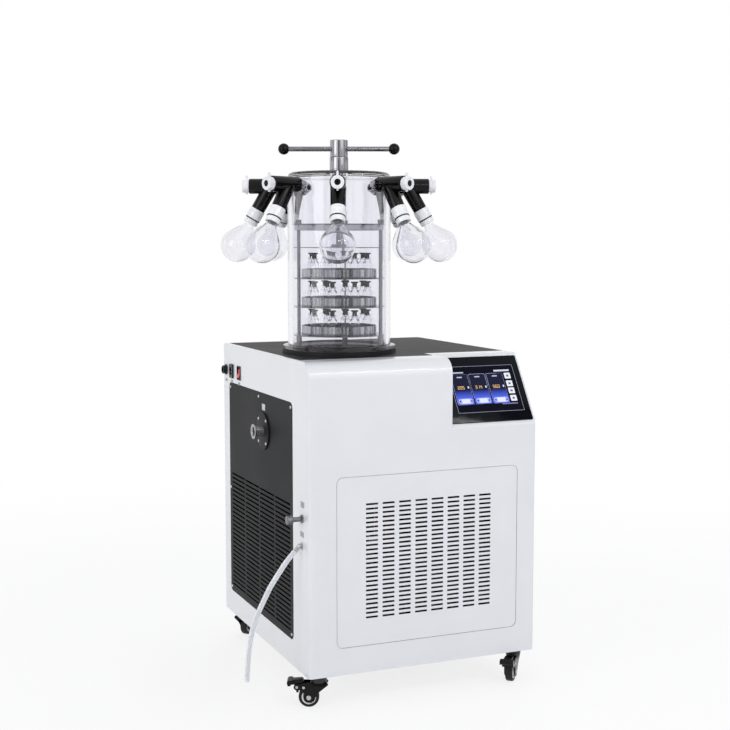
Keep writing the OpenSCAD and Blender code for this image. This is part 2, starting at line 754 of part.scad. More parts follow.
coil_r = 5;
coil_pitch = 22;
riser_r = coil_r + 0.5;
coil_path = trap_r + wall + coil_r + seat_gap;
coil_low = [top_z - trap_depth + 20 : coil_pitch : vacuum_z - vacuum_pipe_r - 2 * coil_r];
coil_high = [vacuum_z + vacuum_pipe_r + 3 * coil_r : coil_pitch : top_z - 3 * coil_r];
coil_top = top_z - 3 * coil_r - coil_pitch;
line_z = drain_z - 60;
elbow_r = coil_r + 1;
pump_xy = [cabinet_w - 215, cabinet_d - 235];
pump_r = 80;
pump_h = 190;
pump_lift = 14;
pump_top = base_z + wall + pump_lift + pump_h;
module cold_trap() {
    on_chamber() color("silver") {
        ring(trap_r, bell_foot_r - 4, top_z, flange_z);
        ring(trap_r, trap_r + wall, top_z - trap_depth, top_z + sink);
        translate([0, 0, top_z - trap_depth]) cylinder(r = trap_r + wall, h = wall);
    }
    color("peru") on_chamber() {
        for (z = concat([for (z = coil_low) z], [for (z = coil_high) z])) translate([0, 0, z])
            rotate_extrude() translate([coil_path, 0]) circle(coil_r);
        translate([coil_path, 0, line_z]) cylinder(r = riser_r, h = coil_top - line_z);
        translate([coil_path, 0, line_z]) sphere(riser_r + 1);
    }
    color("peru") in_cabinet() {
        translate([chamber_left + coil_path, chamber_front, line_z]) rotate([0, 90, 0])
            cylinder(r = coil_r, h = pump_xy[0] - chamber_left - coil_path);
        translate([pump_xy[0], chamber_front, line_z]) sphere(elbow_r);
        translate([pump_xy[0], chamber_front, line_z]) rotate([-90, 0, 0])
            cylinder(r = coil_r, h = pump_xy[1] - chamber_front);
        translate([pump_xy[0], pump_xy[1], line_z]) sphere(elbow_r);
        translate([pump_xy[0], pump_xy[1], pump_top]) cylinder(r = coil_r, h = line_z - pump_top);
    }
}

// Compressor can on its foot plate, with the hot-gas line that runs forward to the condenser
hot_z = 62;
hot_x = 85;
hot_r = 4;
pump_round = 30;
foot_at = pump_r - 14;
foot_r = 11;
module compressor() in_cabinet() translate(concat(pump_xy, base_z + wall)) color("black") {
    translate([0, 0, pump_lift]) rotate_extrude() {
        square([pump_r - pump_round, pump_h]);
        translate([0, pump_round]) square([pump_r, pump_h - 2 * pump_round]);
        for (z = [pump_round, pump_h - pump_round]) translate([pump_r - pump_round, z]) circle(pump_round);
    }
    translate([-pump_r, -pump_r, pump_lift - 2]) cube([2 * pump_r, 2 * pump_r, 4]);
    for (x = [-1, 1], y = [-1, 1]) translate([x * foot_at, y * foot_at, 0])
        cylinder(r = foot_r, h = pump_lift - 1);
    translate([0, 0, hot_z]) {
        rotate([0, 90, 0]) cylinder(r = hot_r, h = hot_x);
        translate([hot_x, 0, 0]) sphere(hot_r + 1);
        translate([hot_x, 0, 0]) rotate([90, 0, 0]) cylinder(r = hot_r, h = pump_xy[1] - core_mid_y);
        translate([hot_x, core_mid_y - pump_xy[1], 0]) sphere(hot_r + 1);
        translate([hot_x, core_mid_y - pump_xy[1], 0]) rotate([0, -90, 0])
            cylinder(r = hot_r, h = pump_xy[0] + hot_x - fan_x - core[0] / 2);
    }
}

core = [340, 32, 280];
core_low = 28;
fan_r = 108;
fan_z = base_z + core_low + core[2] / 2;
fan_x = (service_left + cabinet_w - service_right) / 2;
core_y = 25;
core_mid_y = core_y + core[1] / 2;
shroud_l = 34;
fins = 21;
fin_step = core[0] / (fins + 1);
duct_r = fan_r + 8;
motor_r = 38;
motor_l = 50;
shaft_r = 4;
fan_y = core_y + core[1] + 8;
strut_y = core_y + core[1] + shroud_l;
module condenser() in_cabinet() translate([fan_x, 0, fan_z]) color("silver") {
    difference() {
        translate([-core[0] / 2, core_y, -core[2] / 2]) cube(core);
        for (i = [1 : fins]) translate([-core[0] / 2 + i * fin_step - 3, core_y - sink, -core[2] / 2 + 10])
            cube([6, 11, core[2] - 20]);
    }
    difference() {
        translate([-core[0] / 2, core_y + core[1], -core[2] / 2]) cube([core[0], shroud_l, core[2]]);
        translate([0, core_y, 0]) rotate([-90, 0, 0]) cylinder(r = duct_r, h = far);
        translate([-core[0] / 2 + wall, core_y + core[1] - sink, -core[2] / 2 + wall])
            cube([core[0] - 2 * wall, shroud_l - wall + sink, core[2] - 2 * wall]);
    }
    for (a = [0 : 90 : 270]) rotate([0, a, 0]) translate([0, strut_y, -6]) cube([core[2] / 2 - 4, 4, 12]);
    translate([0, strut_y, 0]) rotate([-90, 0, 0]) cylinder(r = motor_r, h = motor_l);
    translate([0, fan_y - 0.5, 0]) rotate([-90, 0, 0]) cylinder(r = shaft_r, h = shroud_l);
    for (x = [-1, 1]) translate([x * (core[0] / 2 - 20) - 10, core_y, -core[2] / 2 - core_low + wall])
        cube([20, core[1], core_low - wall + sink]);
}

fan_hub_l = 20;
blade_chord = 38;
blade_pitch = 28;
module condenser_fan() in_cabinet() translate([fan_x, fan_y, fan_z]) rotate([-90, 0, 0])
    color("gray") difference() {
        union() {
            cylinder(r = 22, h = fan_hub_l);
            intersection() {
                cylinder(r = fan_r, h = fan_hub_l);
                for (a = [0 : 72 : 288]) rotate([0, 0, a]) translate([15, 0, fan_hub_l / 2])
                    rotate([blade_pitch, 0, 0]) translate([0, -blade_chord / 2, -1])
                    cube([fan_r, blade_chord, 2]);
            }
        }
        translate([0, 0, -sink]) cylinder(r = shaft_r + run_gap, h = far);
    }

// ---------------------------------------------------------------- chamber

gasket_out = bell_foot_r + 2;
module chamber_gasket() on_chamber() color("black") rotate_extrude()
    polygon([[bell_in_r - 1, flange_z], [bell_foot_r - 4 + 0.2, flange_z], [bell_foot_r - 4 + 0.2, top_z],
        [gasket_out, top_z], [gasket_out, bell_z], [bell_in_r - 1, bell_z]]);

shoulder_r = 14;
foot_t = 10;
module chamber_bell() {
    color("lightcyan", 0.3) difference() {
        on_chamber() rotate_extrude() {
            translate([bell_in_r, bell_z]) square([bell_foot_r - bell_in_r, foot_t]);
            translate([bell_in_r, bell_z]) square([bell_wall, bell_h - shoulder_r]);
            translate([boss_neck_r + 0.2, bell_top_z - bell_top_t])
                square([bell_in_r - boss_neck_r, bell_top_t - shoulder_r + 0.01]);
            translate([boss_neck_r + 0.2, bell_top_z - shoulder_r])
                square([bell_r - shoulder_r - boss_neck_r - 0.2, shoulder_r]);
            translate([bell_r - shoulder_r, bell_top_z - shoulder_r]) intersection() {
                circle(shoulder_r);
                translate([-sink, -sink]) square(2 * shoulder_r);
            }
        }
        for (k = [0 : ports - 1]) at_port(k) rotate([0, 90, 0]) cylinder(r = spud_r + 0.2, h = bell_r + sink);
    }
}

module lid_boss() on_chamber() color("silver") difference() {
    union() {
        translate([0, 0, bell_top_z]) cylinder(r = boss_r, h = boss_h);
        translate([0, 0, bell_top_z - bell_top_t]) cylinder(r = boss_neck_r, h = bell_top_t + sink);
    }
    cylinder(r = sleeve_r + run_gap, h = far);
}

module press_handle() on_chamber() rotate([0, 0, handle_turn]) color("silver") {
    difference() {
        union() {
            translate([0, 0, hub_z + seat_gap]) cylinder(r = hub_r, h = hub_h);
            translate([0, 0, sleeve_low_z]) cylinder(r = sleeve_r, h = hub_z - sleeve_low_z + sink);
        }
        translate([0, 0, sleeve_low_z - sink])
            cylinder(r = spindle_r + run_gap, h = spindle_top_z + 2 + sink - sleeve_low_z);
        translate([0, 0, bar_z]) rotate([0, 90, 0]) cylinder(r = bar_r + run_gap, h = far, center = true);
    }
    translate([0, 0, bar_z]) rotate([0, 90, 0]) cylinder(r = bar_r, h = 2 * (ball_at - bar_end), center = true);
}

// Ball with a blind bore for the bar's end, turned about the bar
module handle_ball() rotate_extrude() difference() {
    circle(ball_r);
    translate([-far, -far]) square([far, 2 * far]);
    translate([-sink, -far]) square([sink + bar_r + run_gap, far - bar_end]);
}
module handle_balls() on_chamber() color("black") for (a = [0, 180])
    rotate([0, 0, handle_turn + a]) translate([ball_at, 0, bar_z]) rotate([0, 90, 0]) handle_ball();

// ---------------------------------------------------------------- rack

module at_posts() for (a = post_turn) rotate([0, 0, a]) translate([post_at, 0, 0]) children();

module shelf(z) on_chamber() color("silver") difference() {
    translate([0, 0, z - shelf_t]) cylinder(r = shelf_r, h = shelf_t);
    at_posts() cylinder(r = post_r + loose_gap, h = far);
}
module shelf_upper() shelf(shelf_z[2]);
module shelf_middle() shelf(shelf_z[1]);
module shelf_lower() shelf(shelf_z[0]);

press_boss_r = 25;
press_boss_h = 8;
module press_plate() {
    shelf(press_z);
    on_chamber() color("silver") {
        translate([0, 0, press_z - sink]) cylinder(r = press_boss_r, h = press_boss_h + sink);
        translate([0, 0, press_z]) cylinder(r = spindle_r, h = spindle_top_z - press_z);
    }
}

module rack_frame() on_chamber() color("silver") {
    at_posts() {
        translate([0, 0, flange_z]) cylinder(r = post_r, h = ring_z + 12 - flange_z);
        translate([0, 0, flange_z]) cylinder(r = post_r + 3, h = shelf_z[0] - shelf_t - flange_z);
        translate([0, 0, ring_z - sink]) cylinder(r = post_r + 3, h = 12 + sink);
    }
    ring(spindle_r + loose_gap, shelf_r, ring_z - shelf_t, ring_z);
    ring(shelf_r - 4, shelf_r - 2, ring_z - 16, ring_z - sink);
}

module tray(i) on_chamber() color("silver") translate([0, 0, shelf_z[i]]) {
    cylinder(r = tray_r, h = tray_t);
    ring(tray_r - tray_t, tray_r, 0, tray_h);
}
module tray_upper() tray(2);
module tray_middle() tray(1);
module tray_lower() tray(0);

// Vials stand in a ring near the tray's edge and in three near its middle
vial_ring_r = 76;
vial_mid_r = 32;
vial_places = concat(
    [for (k = [0 : vials_round - 1]) let (a = 360 * k / vials_round + 10) vial_ring_r * [cos(a), sin(a)]],
    [for (k = [0 : 2]) let (a = 120 * k + 40) vial_mid_r * [cos(a), sin(a)]]);

// Vial: body, shoulder, neck and lip around an open bore
module vial() rotate_extrude() difference() {
    polygon([[0, 0], [vial_r, 0], [vial_r, vial_h - 14], [8.5, vial_h - 9], [8.5, vial_h - 5],
        [10, vial_h - 5], [10, vial_h], [0, vial_h]]);
    polygon([[-1, 1.5], [vial_r - 1.2, 1.5], [vial_r - 1.2, vial_h - 14],
        [6.2, vial_h - 9], [6.2, far], [-1, far]]);
}
module vials(i) on_chamber() color("white", 0.4) translate([0, 0, shelf_z[i] + tray_t])
    for (p = vial_places) translate(p) vial();
module vials_upper() vials(2);
module vials_middle() vials(1);
module vials_lower() vials(0);

// Stopper: a flange on a stem whose lower half is cut across for the vapour
module stopper() difference() {
    union() {
        cylinder(r = stopper_flange_r, h = stopper_flange_h);
        translate([0, 0, -stopper_stem_l]) cylinder(r = stopper_stem_r, h = stopper_stem_l + sink);
    }
    translate([-2, -far / 2, -stopper_stem_l - sink]) cube([4, far, stopper_stem_l / 2 + sink]);
}
module stoppers(i) on_chamber() color("dimgray") translate([0, 0, shelf_z[i] + stopper_top - stopper_flange_h])
    for (p = vial_places) translate(p) stopper();
module stoppers_upper() stoppers(2);
module stoppers_middle() stoppers(1);
module stoppers_lower() stoppers(0);

// ---------------------------------------------------------------- manifold

module port_nipple() difference() {
    rotate([0, 90, 0]) {
        translate([0, 0, bell_in_r - 3]) cylinder(r = spud_r, h = bell_wall + 4);
        translate([0, 0, bell_r + seat_gap]) cylinder(r = nut_r, h = nut_h, $fn = 6);
        translate([0, 0, bell_r]) cylinder(r = nipple_r, h = nipple_end - bell_r);
    }
    rotate([0, 90, 0]) cylinder(r = port_bore_r - 1, h = far);
}
module port_valve() difference() {
    union() {
        translate([valve_start, 0, 0]) rotate([0, 90, 0]) cylinder(r = barrel_r, h = barrel_end - valve_start);
        on_branch() cylinder(r1 = barrel_r - 0.5, r2 = barrel_r - 1.5, h = branch_l);
    }
    rotate([0, 90, 0]) cylinder(r = nipple_r + run_gap, h = nipple_end + sink);
    rotate([0, 90, 0]) cylinder(r = port_bore_r, h = far);
    translate([plug_in, 0, 0]) rotate([0, 90, 0]) cylinder(r = plug_r + run_gap, h = far);
    on_branch() cylinder(r = port_bore_r, h = far);
    on_branch() translate([0, 0, branch_l - 16]) cylinder(r = spigot_r + run_gap, h = far);
}
module port_valves() for (k = [0 : ports - 1]) at_port(k) {
    color("black") port_valve();
    color("dimgray") port_nipple();
}

// Plug knob: stem in the barrel, round head, pointer tab on top and a small point below
module valve_knob(k) at_port(k) color("white") {
    difference() {
        rotate([0, 90, 0]) {
            translate([0, 0, plug_in + 1]) cylinder(r = plug_r, h = barrel_end + sink - plug_in);
            translate([0, 0, barrel_end + seat_gap]) cylinder(r = knob_r, h = knob_l);
        }
        translate([barrel_end + seat_gap + knob_l - 2, 0, 0]) rotate([0, 90, 0]) cylinder(r = 8, h = far);
    }
    translate([barrel_end + 4, -3, knob_r - 3]) cube([6, 6, 14]);
    translate([barrel_end + 4, -2, -knob_r - 4]) cube([6, 4, 7]);
}
module valve_knob_1() valve_knob(0);
module valve_knob_2() valve_knob(1);
module valve_knob_3() valve_knob(2);
module valve_knob_4() valve_knob(3);
module valve_knob_5() valve_knob(4);
module valve_knob_6() valve_knob(5);
module valve_knob_7() valve_knob(6);
module valve_knob_8() valve_knob(7);

// Collar between branch and flask, with a black seal ring in its groove
ring_tube_r = 1.45;
module flask_collar() {
    color("whitesmoke") rotate_extrude() polygon([
        [8, branch_l - 14], [spigot_r, branch_l - 14], [spigot_r, branch_l], [collar_r, branch_l],
        [collar_r, ring_at], [18, ring_at], [18, ring_at + 3], [19, ring_at + 3], [19, collar_end],
        [neck_r + 0.1, collar_end], [neck_r + 0.1, neck_start - 1], [8, neck_start - 1]]);
    color("black") translate([0, 0, ring_at + 1.5])
        rotate_extrude() translate([18 + ring_tube_r, 0]) circle(ring_tube_r);
}
module flask_collars() for (k = [0 : ports - 1]) at_port(k) on_branch() flask_collar();

// Flask outline grown by -k: straight neck, a cone that meets the ball as a tangent, and the ball
module flask_outline(k) {
    ball = flask_r - k;
    neck = neck_r - k;
    reach = flask_at - neck_end;
    lean = atan2(neck, reach);
    touch = acos(ball / norm([reach, neck])) + lean;
    translate([0, flask_at]) circle(ball);
    polygon([[0, neck_start], [neck, neck_start], [neck, neck_end],
        [ball * sin(touch), flask_at - ball * cos(touch)], [0, flask_at]]);
}
module flask() rotate_extrude() intersection() {
    translate([0, neck_start]) square([far, far]);
    difference() {
        flask_outline(0);
        flask_outline(flask_wall);
        translate([-far, 0]) square([neck_r - flask_wall + far, neck_end]);
    }
}
module flasks() for (k = [0 : ports - 1]) at_port(k) on_branch() color("azure", 0.4) flask();

// ---------------------------------------------------------------- assembly

cabinet_shell();
base_pan();
rear_panel();
top_plate();
service_panel();
side_panel();
panel_screws();
touch_screen();
side_sockets();
power_rocker();
vacuum_port();
air_valve_body();
air_valve_knob();
drain_fitting();
drain_hose();
caster_plates();
at_caster(0) caster_fork(true);  // caster_fork_fl
at_caster(1) caster_fork(true);  // caster_fork_fr
at_caster(2) caster_fork(false);  // caster_fork_rl
at_caster(3) caster_fork(false);  // caster_fork_rr
at_caster(0) caster_wheel();  // caster_wheel_fl
at_caster(1) caster_wheel();  // caster_wheel_fr
at_caster(2) caster_wheel();  // caster_wheel_rl
at_caster(3) caster_wheel();  // caster_wheel_rr
at_caster(0) brake_pedal();  // brake_pedal_fl
at_caster(1) brake_pedal();  // brake_pedal_fr
cold_trap();
compressor();
condenser();
condenser_fan();
chamber_gasket();
chamber_bell();
lid_boss();
press_handle();
handle_balls();
press_plate();
shelf_upper();
shelf_middle();
shelf_lower();
rack_frame();
tray_upper();
tray_middle();
tray_lower();
vials_upper();
vials_middle();
vials_lower();
stoppers_upper();
stoppers_middle();
stoppers_lower();
valve_knob_1();
valve_knob_2();
valve_knob_3();
valve_knob_4();
valve_knob_5();
valve_knob_6();
valve_knob_7();
valve_knob_8();
port_valves();
flask_collars();
flasks();
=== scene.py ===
"""Looks of a floor-standing laboratory freeze dryer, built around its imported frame.

Lengths are in millimetres and angles in degrees, apart from the floor, lamps and cards, which are in metres.
Grids of points run round the piece along their rows and from its foot to its head along their columns,
so that every face looks outward. X is to the right, Y to the back and Z up, as in the frame.
"""
import json
import logging
from dataclasses import dataclass
from enum import Enum
from typing import List, Optional, Sequence, Tuple, Union

import bmesh
import bpy
import numpy as np
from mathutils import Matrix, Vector


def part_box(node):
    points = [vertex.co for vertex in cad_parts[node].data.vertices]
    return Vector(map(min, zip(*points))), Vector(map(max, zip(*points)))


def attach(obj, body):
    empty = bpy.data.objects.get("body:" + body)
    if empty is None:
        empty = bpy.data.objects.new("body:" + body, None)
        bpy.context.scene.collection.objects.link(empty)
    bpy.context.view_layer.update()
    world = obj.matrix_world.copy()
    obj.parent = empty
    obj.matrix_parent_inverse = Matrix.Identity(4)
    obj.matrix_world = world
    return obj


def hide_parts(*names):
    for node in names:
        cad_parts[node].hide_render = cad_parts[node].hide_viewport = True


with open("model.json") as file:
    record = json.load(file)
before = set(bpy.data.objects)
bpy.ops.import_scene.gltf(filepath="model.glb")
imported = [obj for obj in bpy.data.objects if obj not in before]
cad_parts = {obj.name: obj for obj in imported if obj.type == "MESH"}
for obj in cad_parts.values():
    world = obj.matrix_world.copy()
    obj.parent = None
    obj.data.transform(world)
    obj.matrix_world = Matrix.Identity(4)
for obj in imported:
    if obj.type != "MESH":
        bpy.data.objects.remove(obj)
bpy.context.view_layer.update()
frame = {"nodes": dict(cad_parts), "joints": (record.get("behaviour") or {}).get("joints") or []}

log = logging.getLogger("freeze_dryer")

MM = 0.001
Array = np.ndarray
Colour = Tuple[float, float, float, float]
WHITE: Colour = (1.0, 1.0, 1.0, 1.0)
SHARP_EDGE = 34.0


# ---------------------------------------------------------------- places

class Axis(Enum):
    """Axes of a frame."""

    X = 0
    Y = 1
    Z = 2


class Corner(Enum):
    """Corners of the cabinet, as the frame's names give them."""

    FRONT_LEFT = "fl"
    FRONT_RIGHT = "fr"
    REAR_LEFT = "rl"
    REAR_RIGHT = "rr"


def shift(x: float = 0.0, y: float = 0.0, z: float = 0.0) -> Array:
    """Matrix that moves points by (x, y, z).

    Args:
        x: millimetres along x.
        y: along y.
        z: along z.

    Returns:
        A 4 by 4 matrix.
    """
    matrix = np.eye(4)
    matrix[:3, 3] = (x, y, z)
    return matrix


def turn(axis: Axis, degrees: float) -> Array:
    """Matrix that turns points about one axis of the frame, right-handed.

    Args:
        axis: the one that stays.
        degrees: the angle.

    Returns:
        A 4 by 4 matrix.
    """
    i, j = (axis.value + 1) % 3, (axis.value + 2) % 3
    cosine, sine = np.cos(np.radians(degrees)), np.sin(np.radians(degrees))
    matrix = np.eye(4)
    matrix[i, i] = matrix[j, j] = cosine
    matrix[j, i], matrix[i, j] = sine, -sine
    return matrix


def carry(points: Array, where: Array) -> Array:
    """Points of any grid after a matrix has moved them."""
    return points @ where[:3, :3].T + where[:3, 3]


def corner_of(node: str, high: bool = False) -> Array:
    """Lowest or highest corner of a node in millimetres."""
    return np.array(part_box(node)[1 if high else 0]) / MM


def middle_of(node: str) -> Array:
    """Middle of a node's box in millimetres."""
    return (corner_of(node) + corner_of(node, True)) / 2


def joint_named(name: str) -> dict:
    """The frame's joint of that name."""
    return next(j for j in frame["joints"] if j["name"] == name)


@dataclass(frozen=True)
class Places:
    """The machine's own frames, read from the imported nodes."""

    port_count: int = 8
    knob_r: float = 17.0
    pointer_reach: float = 11.0
    branch_elbow: float = 180.0
    branch_tilt: float = 30.0
    console_drop: float = 180.0
    console_depth: float = 118.0
    screen_left: float = 2.0
    screen_low: float = 12.0
    trail: float = 25.0

    @property
    def cabinet(self) -> Array:
        """Frame of the cabinet's left front edge, with z from the floor."""
        low = corner_of("cabinet_shell")
        return shift(low[0], low[1])

    @property
    def cabinet_size(self) -> Array:
        """Width, depth and height of the cabinet."""
        return corner_of("cabinet_shell", True) - corner_of("cabinet_shell")

    @property
    def top_z(self) -> float:
        """Height of the cabinet's top."""
        return float(corner_of("cabinet_shell", True)[2])

    @property
    def chamber(self) -> Array:
        """Frame of the chamber's axis, with z from the floor."""
        centre = middle_of("shelf_lower")
        return shift(centre[0], centre[1])

    @property
    def console(self) -> Array:
        """Frame of the glass: x along its width, z up the slope, -y outward, from its lower left corner.

        Returns:
            A 4 by 4 matrix.
        """
        left = corner_of("touch_screen")[0] - self.screen_left - self.cabinet[0, 3]
        slope = np.degrees(np.arctan2(self.console_depth, self.console_drop))
        return (self.cabinet @ shift(left, 0, self.top_z - self.console_drop) @ turn(Axis.X, -slope)
                @ shift(self.screen_left, 0, self.screen_low))

    def port(self, k: int) -> Array:
        """Frame of port k, from 0: +x runs outward along the port.

        Args:
            k: number of the port.

        Returns:
            A 4 by 4 matrix.
        """
        height = corner_of("valve_knob_1", True)[2] - self.knob_r - self.pointer_reach
        step = 360.0 / self.port_count
        return self.chamber @ turn(Axis.Z, step / 2 + k * step) @ shift(0, 0, height)

    def branch(self, k: int) -> Array:
        """Frame of a port's branch: +z runs down and outward from the elbow."""
        return self.port(k) @ shift(self.branch_elbow) @ turn(Axis.Y, 180.0 - self.branch_tilt)

    def side(self, y: float, z: float) -> Array:
        """Frame of a place on the cabinet's left side: +z runs outward, y to the back, from the front and floor."""
        return self.cabinet @ shift(0, y, z) @ turn(Axis.Y, -90.0)

    def wheel(self, corner: Corner) -> Array:
        """Frame of a caster's wheel plane: x along the wheel's trail, y up from the floor, z across the wheel.

        Args:
            corner: where the caster is.

        Returns:
            A 4 by 4 matrix.
        """
        axis = np.array(joint_named(f"wheel_spin_{corner.value}")["axis"])
        swivel = np.array(joint_named(f"swivel_{corner.value}")["pos_m"]) / MM
        yaw = np.degrees(np.arctan2(-axis[0], axis[1]))
        return shift(swivel[0], swivel[1]) @ turn(Axis.Z, yaw) @ shift(-self.trail) @ turn(Axis.X, 90.0)


PLACES = Places()


# ---------------------------------------------------------------- shapes

def rounded(corners: Sequence, radii: Union[float, Sequence[float]], closed: bool = True, steps: int = 5) -> Array:
    """Outline whose corners are arcs that touch both of their edges.

    Each arc's centre lies radius / sin(half the inner angle) from its corner, along the angle's halving line. Its
    points are the centre plus a spherical blend of the two radii that end on the edges.

    Args:
        corners: points of two or three numbers, in order.
        radii: one radius, or one for each corner.
        closed: whether the last corner joins the first. An open outline keeps both ends sharp.
        steps: points on each arc.

    Returns:
        An array of steps points for each corner.
    """
    p = np.asarray(corners, float)
    r = np.array(np.broadcast_to(np.asarray(radii, float), len(p)))
    if not closed:
        r[[0, -1]] = 0.0
    before, after = np.roll(p, 1, axis=0) - p, np.roll(p, -1, axis=0) - p
    before /= np.linalg.norm(before, axis=1, keepdims=True)
    after /= np.linalg.norm(after, axis=1, keepdims=True)
    half = 0.5 * np.arccos(np.clip((before * after).sum(1), -1.0, 0.999999))
    bisector = before + after
    bisector /= np.maximum(np.linalg.norm(bisector, axis=1, keepdims=True), 1e-9)
    centre = p + bisector * (r / np.sin(half))[:, None]
    reach = (r / np.tan(half))[:, None]
    first, last = p + before * reach - centre, p + after * reach - centre
    sweep = np.maximum(np.pi - 2 * half, 1e-6)[:, None, None]
    t = np.linspace(0.0, 1.0, steps)[None, :, None]
    arc = (np.sin((1 - t) * sweep) * first[:, None] + np.sin(t * sweep) * last[:, None]) / np.sin(sweep)
    return (centre[:, None] + arc).reshape(-1, p.shape[1])


def distinct(loop: Array) -> Array:
    """Closed outline without points that repeat the one before."""
    return loop[np.linalg.norm(loop - np.roll(loop, 1, axis=0), axis=1) > 1e-6]


def inset(loop: Array, depth: float) -> Array:
    """Closed outline moved inward by depth.

    Each point moves along the mean of its two edges' inward normals, by depth over that mean's share of a normal.

    Args:
        loop: anticlockwise points of two numbers.
        depth: how far inward.

    Returns:
        As many points as it is given.
    """
    edge = np.roll(loop, -1, axis=0) - loop
    edge /= np.linalg.norm(edge, axis=1, keepdims=True)
    normal = np.stack([-edge[:, 1], edge[:, 0]], axis=1)
    mean = normal + np.roll(normal, 1, axis=0)
    mean /= np.linalg.norm(mean, axis=1, keepdims=True)
    return loop + mean * depth / np.clip((mean * normal).sum(1, keepdims=True), 0.5, 1.0)


def box_loop(width: float, height: float, radius: float, steps: int = 6) -> Array:
    """Rectangle about the origin with round corners, anticlockwise from its lower right corner."""
    x, y = width / 2, height / 2
    return rounded([[x, -y], [x, y], [-x, y], [-x, -y]], radius, steps=steps)


def ring_loop(radius: float, count: int = 24) -> Array:
    """Circle whose points match those of box_loop, a quarter of them for each corner."""
    angle = -np.pi / 2 + (np.arange(count) + 0.5) * 2 * np.pi / count
    return radius * np.stack([np.cos(angle), np.sin(angle)], axis=1)


def soft(low: float, high: float, edge: float, steps: int = 4) -> List[Tuple[float, float]]:
    """Levels (inset, height) of a slab whose two rims are quarter rounds of radius edge.

    Args:
        low: height of the lower face.
        high: height of the upper face.
        edge: radius of the rims.
        steps: levels in each rim.

    Returns:
        The levels from the bottom up.
    """
    t = np.linspace(0.0, np.pi / 2, steps)
    inward, rise = edge * (1 - np.sin(t)), edge * (1 - np.cos(t))
    foot = list(zip(inward, low + rise))
    return foot + [(a, low + high - b) for a, b in reversed(foot)]


def slab(loop: Array, levels: Sequence[Tuple[float, float]]) -> Array:
    """Grid of an outline carried up z, inset at each level as the level says.

    Args:
        loop: anticlockwise points of two numbers.
        levels: inset and height of each.

    Returns:
        A grid of points by levels.
    """
    outline = distinct(loop)
    rings = [np.column_stack([inset(outline, depth), np.full(len(outline), z)]) for depth, z in levels]
    return np.stack(rings, axis=1)


def loft(stations: Sequence[Tuple[Array, float]]) -> Array:
    """Grid through outlines of as many points each, every one at its height."""
    return np.stack([np.column_stack([loop, np.full(len(loop), z)]) for loop, z in stations], axis=1)


def bearings(count: int) -> Array:
    """Even angles once round a circle, as a column."""
    return np.linspace(0.0, 2 * np.pi, count, endpoint=False)[:, None]


def revolve(profile: Array, sides: int = 64) -> Array:
    """Grid of a profile of (radius, height) points carried round the z axis.

    Args:
        profile: points of radius and height.
        sides: how many bearings.

    Returns:
        A grid of bearings by points.
    """
    angle = bearings(sides)
    radius, height = profile[:, 0], np.broadcast_to(profile[:, 1], (sides, len(profile)))
    return np.stack([radius * np.cos(angle), radius * np.sin(angle), height], axis=2)


def turned(corners: Sequence, radii: Union[float, Sequence[float]], sides: int = 64, closed: bool = False,
           steps: int = 4) -> Array:
    """Grid of a turned piece: a rounded profile of (radius, height) corners carried round z."""
    return revolve(rounded(corners, radii, closed=closed, steps=steps), sides)


def tube(path: Array, radii: Array, sides: int = 20) -> Array:
    """Grid of a tube along a path: at each point a circle square to the path, of that point's radius.

    The circle's axes are the path's direction crossed with Y, and the direction crossed with that.

    Args:
        path: points along the middle.
        radii: one for each point.
        sides: points round each circle.

    Returns:
        A grid of bearings by path points.
    """
    along = np.gradient(path, axis=0)
    along /= np.linalg.norm(along, axis=1, keepdims=True)
    u = np.cross(along, [0.0, 1.0, 0.0])
    u /= np.linalg.norm(u, axis=1, keepdims=True)
    v = np.cross(along, u)
    angle = bearings(sides)[:, None]
    return path + radii[:, None] * (np.cos(angle) * u + np.sin(angle) * v)


def smooth_route(points: Array, per_span: int) -> Array:
    """Curve through points, each span a cubic whose end slopes are half the chord between its neighbours.

    Args:
        points: points that the curve passes.
        per_span: points on each span.

    Returns:
        Points of three numbers.
    """
    padded = np.concatenate([2 * points[:1] - points[1:2], points, 2 * points[-1:] - points[-2:-1]])
    p0, p1, p2, p3 = padded[:-3, None], padded[1:-2, None], padded[2:-1, None], padded[3:, None]
    t = np.linspace(0.0, 1.0, per_span, endpoint=False)[None, :, None]
    curve = 0.5 * (2 * p1 + (p2 - p0) * t + (2 * p0 - 5 * p1 + 4 * p2 - p3) * t ** 2
                   + (3 * p1 - p0 - 3 * p2 + p3) * t ** 3)
    return np.concatenate([curve.reshape(-1, 3), points[-1:]])


